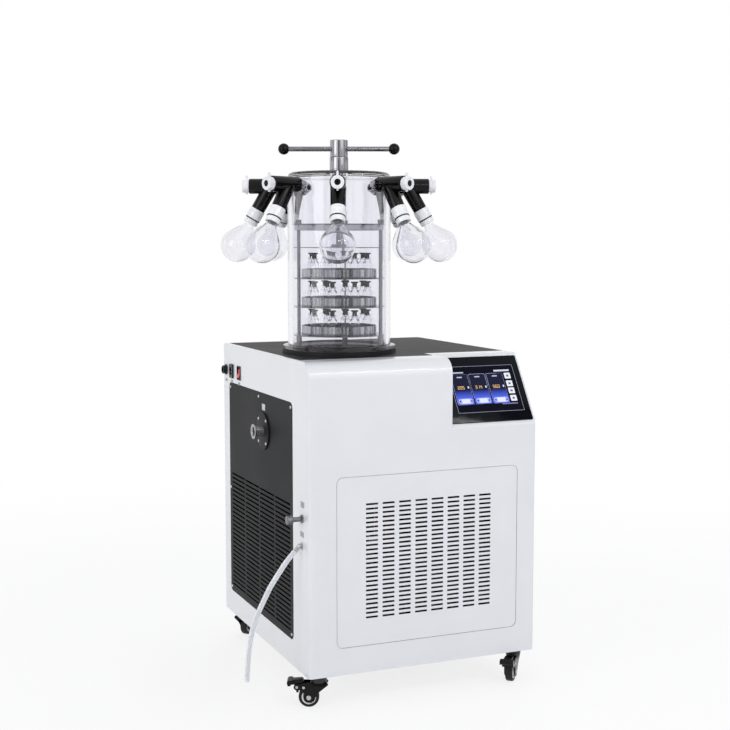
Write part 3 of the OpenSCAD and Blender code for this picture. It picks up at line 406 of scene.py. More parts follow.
class Skin:
    """Grids and flat lids that together make one piece's surface."""

    def __init__(self) -> None:
        """Starts with no surface."""
        self.points: List[Array] = []
        self.faces: List[List[int]] = []
        self.kinds: List[int] = []
        self.tints: List[Colour] = []
        self.count = 0

    def _keep(self, points: Array, faces: List[List[int]], kind: int, tint: Colour) -> None:
        """Stores points and the faces on them.

        Args:
            points: rows of three numbers.
            faces: numbers of each face's points.
            kind: index of the finish.
            tint: the faces' own colour.
        """
        self.points.append(points)
        self.faces += faces
        self.kinds += [kind] * len(faces)
        self.tints += [tint] * len(faces)
        self.count += len(points)

    def sheet(self, grid: Array, where: Optional[Array] = None, kind: int = 0, loop: bool = False) -> "Skin":
        """Adds a grid of points as a quad surface whose last row joins the first.

        Args:
            grid: rows by columns by 3.
            where: matrix that carries the grid to its place.
            kind: index of the finish.
            loop: whether the last column joins the first.

        Returns:
            The skin itself.
        """
        rows, columns = grid.shape[:2]
        i = np.arange(rows)[:, None]
        j = np.arange(columns if loop else columns - 1)[None, :]
        i_next, j_next = (i + 1) % rows, (j + 1) % columns
        corners = [i * columns + j, i_next * columns + j, i_next * columns + j_next, i * columns + j_next]
        quads = self.count + np.stack([np.broadcast_to(c, (i.size, j.size)) for c in corners], axis=2)
        placed = grid if where is None else carry(grid, where)
        self._keep(placed.reshape(-1, 3), quads.reshape(-1, 4).tolist(), kind, WHITE)
        return self

    def lid(self, loop: Array, where: Optional[Array] = None, kind: int = 0, down: bool = False,
            tint: Colour = WHITE) -> "Skin":
        """Adds one flat face on a closed outline, looking up its own z, or down it.

        Args:
            loop: points of three numbers.
            where: matrix that carries them to their place.
            kind: index of the finish.
            down: whether the face looks down.
            tint: the face's own colour, for a finish that reads it.

        Returns:
            The skin itself.
        """
        face = list(range(self.count, self.count + len(loop)))
        placed = loop if where is None else carry(loop, where)
        self._keep(placed, [face[::-1] if down else face], kind, tint)
        return self

    def block(self, grid: Array, where: Optional[Array] = None, kind: int = 0) -> "Skin":
        """Adds a grid that runs up z and closes its two ends with lids.

        Args:
            grid: rows by columns by 3.
            where: matrix that carries the grid to its place.
            kind: index of the finish.

        Returns:
            The skin itself.
        """
        self.sheet(grid, where, kind)
        self.lid(grid[:, 0], where, kind, down=True)
        return self.lid(grid[:, -1], where, kind)


def make(name: str, skin: Skin, finishes: Sequence["Finish"], body: str,
         replaces: Sequence[str] = ()) -> bpy.types.Object:
    """Turns a skin into a mesh object that rides on a body; edges bent more than SHARP_EDGE stay crisp.

    Args:
        name: the piece's name.
        skin: its surface, in millimetres.
        finishes: its finishes, in the order of the skin's kinds.
        body: the body that it moves with.
        replaces: CAD nodes that it stands for.

    Returns:
        The object.
    """
    mesh = bpy.data.meshes.new(name)
    mesh.from_pydata((np.concatenate(skin.points) * MM).tolist(), [], skin.faces)
    mesh.polygons.foreach_set("material_index", np.array(skin.kinds, dtype=np.int32))
    if len(set(skin.tints)) > 1:
        tint = mesh.attributes.new("tint", "FLOAT_COLOR", "CORNER")
        lengths = np.array([len(f) for f in skin.faces])
        tint.data.foreach_set("color", np.repeat(np.array(skin.tints, dtype=np.float32), lengths, axis=0).ravel())
    work = bmesh.new()
    work.from_mesh(mesh)
    bmesh.ops.remove_doubles(work, verts=work.verts, dist=0.002 * MM)
    bmesh.ops.dissolve_degenerate(work, edges=work.edges, dist=0.001 * MM)
    work.to_mesh(mesh)
    work.free()
    mesh.shade_smooth()
    mesh.set_sharp_from_angle(angle=float(np.radians(SHARP_EDGE)))
    piece = bpy.data.objects.new(name, mesh)
    bpy.context.scene.collection.objects.link(piece)
    for finish in finishes:
        mesh.materials.append(finish.material())
    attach(piece, body)
    if replaces:
        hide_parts(*replaces)
    log.info("%s: %d faces on %s", name, len(mesh.polygons), body)
    return piece


def dress(node: str, finish: "Finish") -> None:
    """Gives a CAD node that stays in view its finish.

    Args:
        node: the node's name.
        finish: what it is made of.
    """
    piece = frame["nodes"][node]
    for holder in piece.material_slots:
        holder.material = finish.material()
    if not piece.material_slots:
        piece.data.materials.append(finish.material())
    log.info("%s: dressed as %s", node, finish.name)


# ---------------------------------------------------------------- shader maths

def tone(red: int, green: int, blue: int) -> Colour:
    """Linear colour of a screen colour from 0 to 255.

    Args:
        red: the screen colour's red.
        green: its green.
        blue: its blue.

    Returns:
        Red, green, blue and 1.
    """
    share = np.array([red, green, blue]) / 255.0
    linear = np.where(share <= 0.04045, share / 12.92, ((share + 0.055) / 1.055) ** 2.4)
    return (float(linear[0]), float(linear[1]), float(linear[2]), 1.0)


def shaded(colour: Colour, share: float) -> Colour:
    """Colour whose light is multiplied by a share."""
    return (share * colour[0], share * colour[1], share * colour[2], 1.0)


class Shade:
    """A node's output that adds, multiplies and compares as a number does."""

    def __init__(self, graph: "Graph", socket: bpy.types.NodeSocket) -> None:
        """Wraps an output socket of a graph."""
        self.graph = graph
        self.socket = socket

    def _sum(self, operation: str, *terms: "Value") -> "Shade":
        """One Math node on the given terms."""
        return self.graph.node("ShaderNodeMath", {"operation": operation}, dict(enumerate(terms)))

    def __add__(self, other: "Value") -> "Shade":
        """Sum."""
        return self._sum("ADD", self, other)

    def __radd__(self, other: float) -> "Shade":
        """Sum with a plain number first."""
        return self._sum("ADD", other, self)

    def __sub__(self, other: "Value") -> "Shade":
        """Difference."""
        return self._sum("SUBTRACT", self, other)

    def __rsub__(self, other: float) -> "Shade":
        """Difference from a plain number."""
        return self._sum("SUBTRACT", other, self)

    def __mul__(self, other: "Value") -> "Shade":
        """Product."""
        return self._sum("MULTIPLY", self, other)

    def __rmul__(self, other: float) -> "Shade":
        """Product with a plain number first."""
        return self._sum("MULTIPLY", other, self)

    def __gt__(self, other: "Value") -> "Shade":
        """1 where this is greater."""
        return self._sum("GREATER_THAN", self, other)

    def __lt__(self, other: "Value") -> "Shade":
        """1 where this is less."""
        return self._sum("LESS_THAN", self, other)

    def larger(self, other: "Value") -> "Shade":
        """The larger of the two."""
        return self._sum("MAXIMUM", self, other)

    def sine(self) -> "Shade":
        """Sine of an angle in radians."""
        return self._sum("SINE", self)

    def span(self, low: float, high: float, to_low: float = 0.0, to_high: float = 1.0) -> "Shade":
        """Smooth step from to_low at low to to_high at high."""
        return self.graph.node("ShaderNodeMapRange", {"interpolation_type": "SMOOTHSTEP"},
                               {0: self, 1: low, 2: high, 3: to_low, 4: to_high})


Value = Union[float, Shade]


class Graph:
    """The nodes of a material, or of the world."""

    def __init__(self, name: str, world: Optional[bpy.types.World] = None) -> None:
        """Makes an empty material of that name, or empties the world.

        Args:
            name: the material's name.
            world: the world, where the nodes are for it.
        """
        self.owner = world or bpy.data.materials.new(name)
        self.owner.use_nodes = True
        self.tree = self.owner.node_tree
        self.tree.nodes.clear()

    def node(self, kind: str, settings: Optional[dict] = None, sockets: Optional[dict] = None,
             output: Union[int, str] = 0) -> Shade:
        """Adds one node.

        Args:
            kind: its Blender type.
            settings: attributes set first, such as a Math node's operation.
            sockets: values or links, by socket name or number.
            output: the output that is wanted.

        Returns:
            That output.
        """
        made = self.tree.nodes.new(kind)
        for key, value in (settings or {}).items():
            setattr(made, key, value)
        for key, value in (sockets or {}).items():
            if isinstance(value, Shade):
                self.tree.links.new(value.socket, made.inputs[key])
            else:
                made.inputs[key].default_value = value
        return Shade(self, made.outputs[output])

    def here(self) -> Shade:
        """Place on the object, in metres."""
        return self.node("ShaderNodeTexCoord", output="Object")

    def axis(self, axis: Axis, place: Optional[Shade] = None) -> Shade:
        """One coordinate of a place."""
        return self.node("ShaderNodeSeparateXYZ", sockets={0: place or self.here()}, output=axis.name)

    def vector(self, operation: str, *terms: Union[Shade, tuple, float], output: Union[int, str] = 0) -> Shade:
        """One Vector Math node."""
        return self.node("ShaderNodeVectorMath", {"operation": operation}, dict(enumerate(terms)), output)

    def about(self, centre: Array) -> Shade:
        """Place measured from a centre given in millimetres."""
        return self.vector("SUBTRACT", self.here(), tuple(float(c) * MM for c in centre))

    def noise(self, size: float, detail: float = 3.0, stretch: Tuple[float, float, float] = (1.0, 1.0, 1.0),
              place: Optional[Shade] = None) -> Shade:
        """Cloudy noise from 0 to 1.

        Args:
            size: of its lumps, in millimetres.
            detail: how many finer octaves lie on them.
            stretch: the lumps' size along each axis, as a multiple of size.
            place: where it is read, the place on the object if none is given.

        Returns:
            The noise.
        """
        scaled = self.vector("DIVIDE", place or self.here(), tuple(size * MM * s for s in stretch))
        return self.node("ShaderNodeTexNoise", sockets={"Vector": scaled, "Scale": 1.0, "Detail": detail,
                                                      "Roughness": 0.55})

    def mix(self, factor: Value, first: Union[Shade, Colour], second: Union[Shade, Colour]) -> Shade:
        """Blend of two colours."""
        return self.node("ShaderNodeMix", {"data_type": "RGBA"}, {0: factor, 6: first, 7: second}, 2)

    def bump(self, height: Value, depth: float, normal: Optional[Shade] = None) -> Shade:
        """Normal bent by a height from 0 to 1 that stands for depth millimetres.

        Args:
            height: from 0 to 1.
            depth: millimetres for a height of 1.
            normal: what is bent, the surface's own normal if none is given.

        Returns:
            The bent normal.
        """
        sockets = {"Height": height, "Distance": depth * MM, "Strength": 1.0}
        if normal is not None:
            sockets["Normal"] = normal
        return self.node("ShaderNodeBump", sockets=sockets)

    def surface(self, **values: Union[Value, Shade, Colour]) -> bpy.types.Material:
        """Ends the graph in a Principled shader; a value's name is its socket's, with _ for a space.

        Args:
            **values: the sockets' values or links.

        Returns:
            The material.
        """
        sockets = {"Specular IOR Level" if key == "Specular" else key.replace("_", " "): value
                   for key, value in values.items()}
        return self.finish(self.node("ShaderNodeBsdfPrincipled", sockets=sockets))

    def finish(self, shader: Shade) -> Union[bpy.types.Material, bpy.types.World]:
        """Sends a shader to the output of the material or the world.

        Args:
            shader: the last shader's output.

        Returns:
            The material or the world.
        """
        kind = "World" if isinstance(self.owner, bpy.types.World) else "Material"
        end = self.tree.nodes.new("ShaderNodeOutput" + kind)
        self.tree.links.new(shader.socket, end.inputs["Surface"])
        return self.owner


# ---------------------------------------------------------------- finishes

@dataclass(frozen=True)
class Finish:
    """A surface finish, made once under its name."""

    name: str

    def material(self) -> bpy.types.Material:
        """The finish's material."""
        found = bpy.data.materials.get("finish_" + self.name)
        return found or self.draw(Graph("finish_" + self.name))

    def draw(self, graph: Graph) -> bpy.types.Material:
        """Builds the nodes."""
        raise NotImplementedError


@dataclass(frozen=True)
class Enamel(Finish):
    """Baked powder coat on sheet metal: fine orange peel, a slow waviness, and painted shade on the inner faces."""

    colour: Colour
    painted_inner_shade: Colour
    roughness: float = 0.36
    peel: float = 0.02
    coat: float = 0.25
    specular: float = 0.5
    coat_roughness: float = 0.05
    cloud_size: float = 160.0
    peel_sizes: Tuple[float, float] = (1.6, 4.5)
    wave_size: float = 210.0
    wave_depth: float = 0.1

    def draw(self, graph: Graph) -> bpy.types.Material:
        """Inner faces are those whose normal points to the cabinet's middle; they are painted dark as shade.

        The peel's height is 0.7 times its fine noise plus 0.6 times its coarse one, on a slow wave.

        Args:
            graph: the material's nodes.

        Returns:
            The material.
        """
        middle = middle_of("cabinet_shell")
        normal = graph.node("ShaderNodeNewGeometry", output="Normal")
        facing = graph.vector("DOT_PRODUCT", normal, graph.about(middle), output="Value")
        # Painted shade: faces inside the cabinet take the dark inner colour, for the shadow in there.
        inner = facing.span(0.002, -0.002)
        cloud = graph.noise(self.cloud_size, 2.0)
        fine, coarse = self.peel_sizes
        paint = graph.mix(cloud.span(0.3, 0.7), self.colour, shaded(self.colour, 0.972))
        height = graph.noise(fine, 2.0) * 0.7 + graph.noise(coarse, 1.0) * 0.6
        wave = graph.bump(graph.noise(self.wave_size, 1.0), self.wave_depth)
        return graph.surface(
            Base_Color=graph.mix(inner, paint, self.painted_inner_shade),
            Roughness=self.roughness + 0.1 * (cloud - 0.5) + inner * 0.3,
            Normal=graph.bump(height, self.peel, wave), Coat_Weight=self.coat, Coat_Roughness=self.coat_roughness,
            Specular=self.specular)


class Lay(Enum):
    """Direction of the fine lines that a tool leaves on metal."""

    ROUND = "round"
    RADIAL = "radial"
    LEVEL = "level"
    CAST = "cast"


@dataclass(frozen=True)
class Metal(Finish):
    """Bare metal with tool lines in bump, roughness and colour, painted reflection bands, an optional painted
    highlight band between two heights, and faint smudges.
    """

    colour: Colour
    roughness: float = 0.24
    lay: Lay = Lay.LEVEL
    line: float = 0.5
    depth: float = 0.006
    line_and_reflection_shade: float = 0.14
    painted_highlight_heights: Tuple[float, float] = (0.0, 0.0)
    painted_highlight_colour: Colour = tone(172, 172, 177)
    reflection_band_size: float = 60.0
    smudge_size: float = 38.0

    def lines(self, graph: Graph) -> Tuple[Shade, Shade]:
        """Fine tool lines, partly real grain and partly painted reflection streaks, and broad bands of painted
        reflection.

        Round lines follow the distance from the chamber's axis, and radial ones the bearing about it, which is the
        flattened place at unit length. The others are noise drawn out along an axis.

        Args:
            graph: the material's nodes.

        Returns:
            The fine lines and the painted reflection bands.
        """
        flat = graph.vector("MULTIPLY", graph.about(PLACES.chamber[:3, 3]), (1.0, 1.0, 0.0))
        if self.lay is Lay.ROUND:
            radius = graph.vector("LENGTH", flat, output="Value")
            rings = graph.node("ShaderNodeCombineXYZ", sockets={0: radius, 1: graph.axis(Axis.Z) * 0.3})
            return graph.noise(self.line, 2.0, place=rings), graph.noise(40.0 * self.line, 2.0, place=rings)
        if self.lay is Lay.RADIAL:
            bearing = graph.vector("NORMALIZE", flat)
            return graph.noise(18.0 * self.line, 2.0, place=bearing), graph.noise(420.0, 1.0, place=bearing)
        stretch = {Lay.LEVEL: (60.0, 60.0, 1.0), Lay.CAST: (6.0, 6.0, 6.0)}[self.lay]
        return graph.noise(self.line, 2.0, stretch=stretch), graph.noise(self.reflection_band_size, 2.0)

    def draw(self, graph: Graph) -> bpy.types.Material:
        """Lines and painted reflection bands shade the colour, the lines roughen it, and a painted highlight lifts it
        between two heights.

        Args:
            graph: the material's nodes.

        Returns:
            The material.
        """
        lines, reflection_bands = self.lines(graph)
        smudge = graph.noise(self.smudge_size, 3.0)
        # Painted reflection: the broad bands darken the colour like blurred mirror images, and the tool lines do so in
        # part.
        shade = lines.span(0.4, 0.6) * 0.5 + reflection_bands.span(0.4, 0.6) * 0.5
        colour = graph.mix(shade, shaded(self.colour, 1 - self.line_and_reflection_shade), self.colour)
        # Painted highlight: between the two heights the colour is lifted to a pale tone.
        foot, head = self.painted_highlight_heights
        if head:
            height = graph.axis(Axis.Z)
            colour = graph.mix((height > foot * MM) * (height < head * MM), colour, self.painted_highlight_colour)
        return graph.surface(
            Base_Color=colour, Metallic=1.0,
            Roughness=self.roughness + (lines - 0.5) * 0.16 + smudge.span(0.5, 0.8) * 0.06,
            Normal=graph.bump(lines, self.depth))


@dataclass(frozen=True)
class Moulded(Finish):
    """Plastic or rubber from a mould: a fine grain, slight mottling and a soft sheen."""

    colour: Colour
    roughness: float = 0.42
    grain: float = 0.9
    depth: float = 0.02
    specular: float = 0.5
    coat: float = 0.0
    dust: float = 0.0
    dust_colour: Colour = tone(150, 148, 144)
    mottle_size: float = 14.0
    coat_roughness: float = 0.15

    def draw(self, graph: Graph) -> bpy.types.Material:
        """Dust lightens the faces that look up, where slow noise lets it.

        Args:
            graph: the material's nodes.

        Returns:
            The material.
        """
        grain = graph.noise(self.grain, 2.0)
        mottle = graph.noise(self.mottle_size, 3.0)
        base = graph.mix(mottle.span(0.35, 0.65), shaded(self.colour, 0.9), self.colour)
        if self.dust > 0:
            up = graph.axis(Axis.Z, graph.node("ShaderNodeNewGeometry", output="Normal"))
            settled = up.span(0.2, 1.0) * mottle.span(0.4, 0.7) * self.dust
            base = graph.mix(settled, base, self.dust_colour)
        return graph.surface(
            Base_Color=base, Roughness=self.roughness + (mottle - 0.5) * 0.1, Specular=self.specular,
            Normal=graph.bump(grain, self.depth), Coat_Weight=self.coat, Coat_Roughness=self.coat_roughness)


@dataclass(frozen=True)
class Clear(Finish):
    """Clear glass or plastic: light goes through, the skin carries faint ripples, wipe marks and a slight haze."""

    colour: Colour
    index: float = 1.49
    roughness: float = 0.0
    ripple: float = 0.02
    ripple_size: float = 60.0
    haze: float = 0.03
    edge: float = 0.45
    through: float = 1.0
    smoke_below: float = 0.0
    smoke: Colour = tone(112, 106, 116)
    smoke_edge: float = 1.5
    mark_size: float = 26.0

    def draw(self, graph: Graph) -> bpy.types.Material:
        """Wipe marks are stretched noise that roughens the skin; the tint deepens aslant and where it is smoked.

        Args:
            graph: the material's nodes.

        Returns:
            The material.
        """
        marks = graph.noise(self.mark_size, 3.0, stretch=(1.0, 1.0, 2.5)).span(0.52, 0.78)
        tinted = graph.mix(marks * 0.5, self.colour, shaded(self.colour, 0.985))
        aslant = graph.node("ShaderNodeLayerWeight", sockets={"Blend": 0.5}, output="Facing").span(0.72, 1.0)
        deep = graph.mix(aslant, tinted, shaded(self.colour, self.edge))
        if self.smoke_below:
            foot, head = (self.smoke_below - self.smoke_edge) * MM, (self.smoke_below + self.smoke_edge) * MM
            deep = graph.mix(graph.axis(Axis.Z).span(foot, head, 1.0, 0.0), deep, self.smoke)
        return graph.surface(
            Base_Color=deep, Roughness=self.roughness + marks * self.haze, Transmission_Weight=self.through,
            IOR=self.index, Normal=graph.bump(graph.noise(self.ripple_size, 1.0), self.ripple))


@dataclass(frozen=True)
class TrapMetal(Finish):
    """The cold trap: brushed steel pot and flange, with copper pipes wound outside it."""

    steel: Colour
    copper: Colour
    pot_r: float = 102.6
    patina_size: float = 11.0
    line: float = 0.6
    depth: float = 0.006

    def draw(self, graph: Graph) -> bpy.types.Material:
        """Copper is whatever lies further than the pot's wall from the chamber's axis, below the cabinet's top.

        Args:
            graph: the material's nodes.

        Returns:
            The material.
        """
        flat = graph.vector("MULTIPLY", graph.about(PLACES.chamber[:3, 3]), (1.0, 1.0, 0.0))
        radius = graph.vector("LENGTH", flat, output="Value")
        copper = (radius > self.pot_r * MM) * (graph.axis(Axis.Z) < (PLACES.top_z - 1.0) * MM)
        patina = graph.noise(self.patina_size, 4.0)
        pipe = graph.mix(patina.span(0.35, 0.7), self.copper, shaded(self.copper, 0.62))
        lines = graph.noise(self.line, 2.0, stretch=(40.0, 40.0, 1.0))
        return graph.surface(
            Base_Color=graph.mix(copper, self.steel, pipe), Metallic=1.0,
            Roughness=0.26 + patina * 0.14 + copper * 0.08, Normal=graph.bump(lines, self.depth))


@dataclass(frozen=True)
class FinStock(Finish):
    """Condenser core: thin aluminium fins in close rows across its face, darkened as painted shade."""

    colour: Colour
    pitch: float = 2.2
    depth: float = 0.4

    def draw(self, graph: Graph) -> bpy.types.Material:
        """Fin edges are the crests of a sine along X; the gaps between them are painted dark as shade.

        Args:
            graph: the material's nodes.

        Returns:
            The material.
        """
        wave = (graph.axis(Axis.X) * (2 * np.pi / (self.pitch * MM))).sine() * 0.5 + 0.5
        return graph.surface(
            Base_Color=graph.mix(wave.span(0.2, 0.8), shaded(self.colour, 0.25), self.colour), Metallic=0.85,
            Roughness=0.42 + graph.noise(30.0) * 0.15, Normal=graph.bump(wave, self.depth))


@dataclass(frozen=True)
class Picture(Finish):
    """Lit picture under the console's glass: each patch glows in its own colour."""

    strength: float = 1.0
    base: Colour = (0.002, 0.002, 0.003, 1.0)
    point: float = 0.5

    def draw(self, graph: Graph) -> bpy.types.Material:
        """The patches' colours come from the mesh; a fine raster of picture points shades them.

        Args:
            graph: the material's nodes.

        Returns:
            The material.
        """
        colour = graph.node("ShaderNodeAttribute", {"attribute_name": "tint"}, output="Color")
        raster = graph.noise(self.point, 1.0).span(0.3, 0.7)
        shown = graph.mix(raster * 0.12, colour, (0.0, 0.0, 0.0, 1.0))
        return graph.surface(Base_Color=self.base, Roughness=0.2, Specular=0.03, Emission_Color=shown,
                             Emission_Strength=self.strength)


@dataclass(frozen=True)
class ScreenGlass(Finish):
    """Black glass with finger smears."""

    colour: Colour

    def draw(self, graph: Graph) -> bpy.types.Material:
        """Smears are drawn-out noise that roughens the glass and lightens it a little.

        Args:
            graph: the material's nodes.

        Returns:
            The material.
        """
        smear = graph.noise(30.0, 4.0, stretch=(1.0, 1.0, 0.5)).span(0.45, 0.75)
        tint = graph.mix(smear * 0.4, self.colour, shaded(self.colour, 1.6))
        return graph.surface(Base_Color=tint, Roughness=0.06 + smear * 0.08, Specular=0.1,
                             Normal=graph.bump(graph.noise(80.0, 1.0), 0.02))


RACK_TOP = float(corner_of("rack_frame", True)[2])
# The second colour of each enamel is the painted shade of its inner faces.
WHITE_ENAMEL = Enamel("white_enamel", tone(232, 233, 238), tone(34, 35, 37), coat=0.7)
BLACK_ENAMEL = Enamel("black_enamel", tone(25, 26, 29), tone(22, 23, 24), 0.5, 0.05, 0.0, 0.1)
BLACK_STEEL = Moulded("black_steel", tone(30, 31, 33), 0.45, 1.5, 0.05, dust=0.2)
# The last number of each steel is how deeply its painted reflection bands and tool lines darken its colour.
SATIN_STEEL = Metal("satin_steel", tone(150, 150, 156), 0.2, Lay.LEVEL, 0.5, 0.006, 0.4)
RACK_STEEL = Metal("rack_steel", tone(132, 132, 136), 0.16, Lay.ROUND, 0.6, 0.003, 0.5)
# The frame's pale band below its top is a painted highlight.
FRAME_STEEL = Metal("frame_steel", tone(132, 132, 136), 0.16, Lay.ROUND, 0.6, 0.003, 0.5,
                    (RACK_TOP - 28.0, RACK_TOP - 15.5))
TRAY_STEEL = Metal("tray_steel", tone(196, 196, 201), 0.16, Lay.RADIAL, 4.0, 0.004, 0.94)
HUB_STEEL = Metal("hub_steel", tone(178, 178, 183), 0.14, Lay.RADIAL, 3.0, 0.003, 0.5)
BRIGHT_STEEL = Metal("bright_steel", tone(196, 196, 200), 0.14, Lay.LEVEL, 0.7, 0.003, 0.2)
FLANGE_STEEL = Metal("flange_steel", tone(190, 190, 194), 0.36, Lay.LEVEL, 1.6, 0.01, 0.35)
KNURL_STEEL = Metal("knurl_steel", tone(128, 126, 130), 0.32, Lay.CAST, 1.0, 0.01, 0.4)
PIPE_STEEL = Metal("pipe_steel", tone(206, 207, 211), 0.2, Lay.LEVEL, 0.8, 0.006, 0.35)
TRAP_METAL = TrapMetal("trap_metal", tone(180, 181, 184), tone(200, 120, 80))
# The fins' colour is darkened well below bare aluminium as painted shade, for the dark inside of the cabinet.
SHADED_FINS = FinStock("fin_aluminium", tone(84, 86, 88))
BLACK_GLASS = ScreenGlass("black_glass", tone(7, 10, 17))
PICTURE = Picture("screen_picture", 1.12)
BLACK_PLASTIC = Moulded("black_plastic", tone(12, 12, 14), 0.34, specular=0.25)
BLACK_PLATE = Moulded("black_plate", tone(16, 16, 18), 0.5, 1.2, 0.03, 0.15)
BLACK_KNOB = Moulded("black_knob", tone(7, 7, 8), 0.12, 6.0, 0.004, 0.16)
RED_PLASTIC = Moulded("red_plastic", tone(206, 20, 24), 0.3, 0.9, 0.008, coat=0.3)
WHITE_PLASTIC = Moulded("white_plastic", tone(242, 242, 246), 0.35, 0.9, 0.01)
COLLAR_PLASTIC = Moulded("collar_plastic", tone(251, 251, 254), 0.28, 0.9, 0.01, coat=0.3)
LABEL_PAPER = Moulded("label_paper", tone(214, 215, 219), 0.6, 2.0, 0.01)
GREY_LABEL = Moulded("grey_label", tone(172, 173, 178), 0.6, 2.0, 0.01)
BLACK_RUBBER = Moulded("black_rubber", tone(5, 5, 6), 0.2, 0.9, 0.008, 0.2)
SEAL_RUBBER = Moulded("seal_rubber", tone(20, 20, 22), 0.5, specular=0.3)
GREY_RUBBER = Moulded("grey_stopper", tone(24, 24, 27), 0.6, specular=0.15)
BLACK_NYLON = Moulded("black_nylon", tone(7, 7, 8), 0.22, 1.3, 0.01, 0.2)
TYRE_RUBBER = Moulded("tyre_rubber", tone(16, 16, 17), 0.5, 1.2, 0.04, 0.3, dust=0.05)
ACRYLIC = Clear("clear_acrylic", tone(243, 243, 248), 1.49, 0.0, 0.03, 90.0, edge=0.82,
                smoke_below=PLACES.top_z + 21.0)
GLASS = Clear("clear_glass", tone(247, 247, 250), 1.47, 0.0, 0.012, 25.0, edge=0.3)
VIAL_GLASS = Clear("vial_glass", tone(253, 253, 254), 1.3, 0.0, 0.006, 12.0, edge=0.85)
TUBE_PLASTIC = Clear("clear_tube", tone(238, 240, 245), 1.42, 0.3, 0.01, 14.0, 0.1, 0.8, 0.4)


# ---------------------------------------------------------------- studio

@dataclass(frozen=True)
class Lamp:
    """Rectangular area lamp aimed at the machine's middle, in metres and watts."""

    name: str
    at: Tuple[float, float, float]
    size: Tuple[float, float]
    power: float
    mirrored: bool = True
    aim_height: float = 0.75

    def build(self) -> None:
        """Makes the lamp, which the camera never sees, and mirrors see only if it is mirrored."""
        data = bpy.data.lights.new(self.name, "AREA")
        data.shape = "RECTANGLE"
        data.size, data.size_y, data.energy = *self.size, self.power
        lamp = bpy.data.objects.new(self.name, data)
        bpy.context.scene.collection.objects.link(lamp)
        lamp.location = self.at
        aim = Vector((0.0, 0.0, self.aim_height)) - Vector(self.at)
        lamp.rotation_euler = aim.to_track_quat("-Z", "Y").to_euler()
        lamp.visible_camera = lamp.visible_transmission = False
        lamp.visible_glossy = self.mirrored


@dataclass(frozen=True)
class Card:
    """Upright dark card that only mirrors see, at a bearing round the machine from the camera's side, in metres."""

    name: str
    bearing: float
    width: float
    shade: float
    distance: float = 3.4
    low: float = 0.02
    high: float = 3.2

    def build(self, yaw: float) -> None:
        """Makes the card for a camera of that yaw.

        Args:
            yaw: the studio's turn in degrees.
        """
        angle = np.radians(self.bearing + yaw - 90.0)
        across = np.array([-np.sin(angle), np.cos(angle)]) * self.width / 2
        centre = np.array([np.cos(angle), np.sin(angle)]) * self.distance
        left, right = centre - across, centre + across
        mesh = bpy.data.meshes.new(self.name)
        mesh.from_pydata([(*left, self.low), (*right, self.low), (*right, self.high), (*left, self.high)], [],
                         [(0, 1, 2, 3)])
        card = bpy.data.objects.new(self.name, mesh)
        bpy.context.scene.collection.objects.link(card)
        graph = Graph(self.name)
        grey = shaded(WHITE, self.shade)
        mesh.materials.append(graph.finish(graph.node("ShaderNodeEmission", sockets={"Color": grey, "Strength": 1.0})))
        for ray in ("camera", "diffuse", "transmission", "volume_scatter", "shadow"):
            setattr(card, f"visible_{ray}", False)


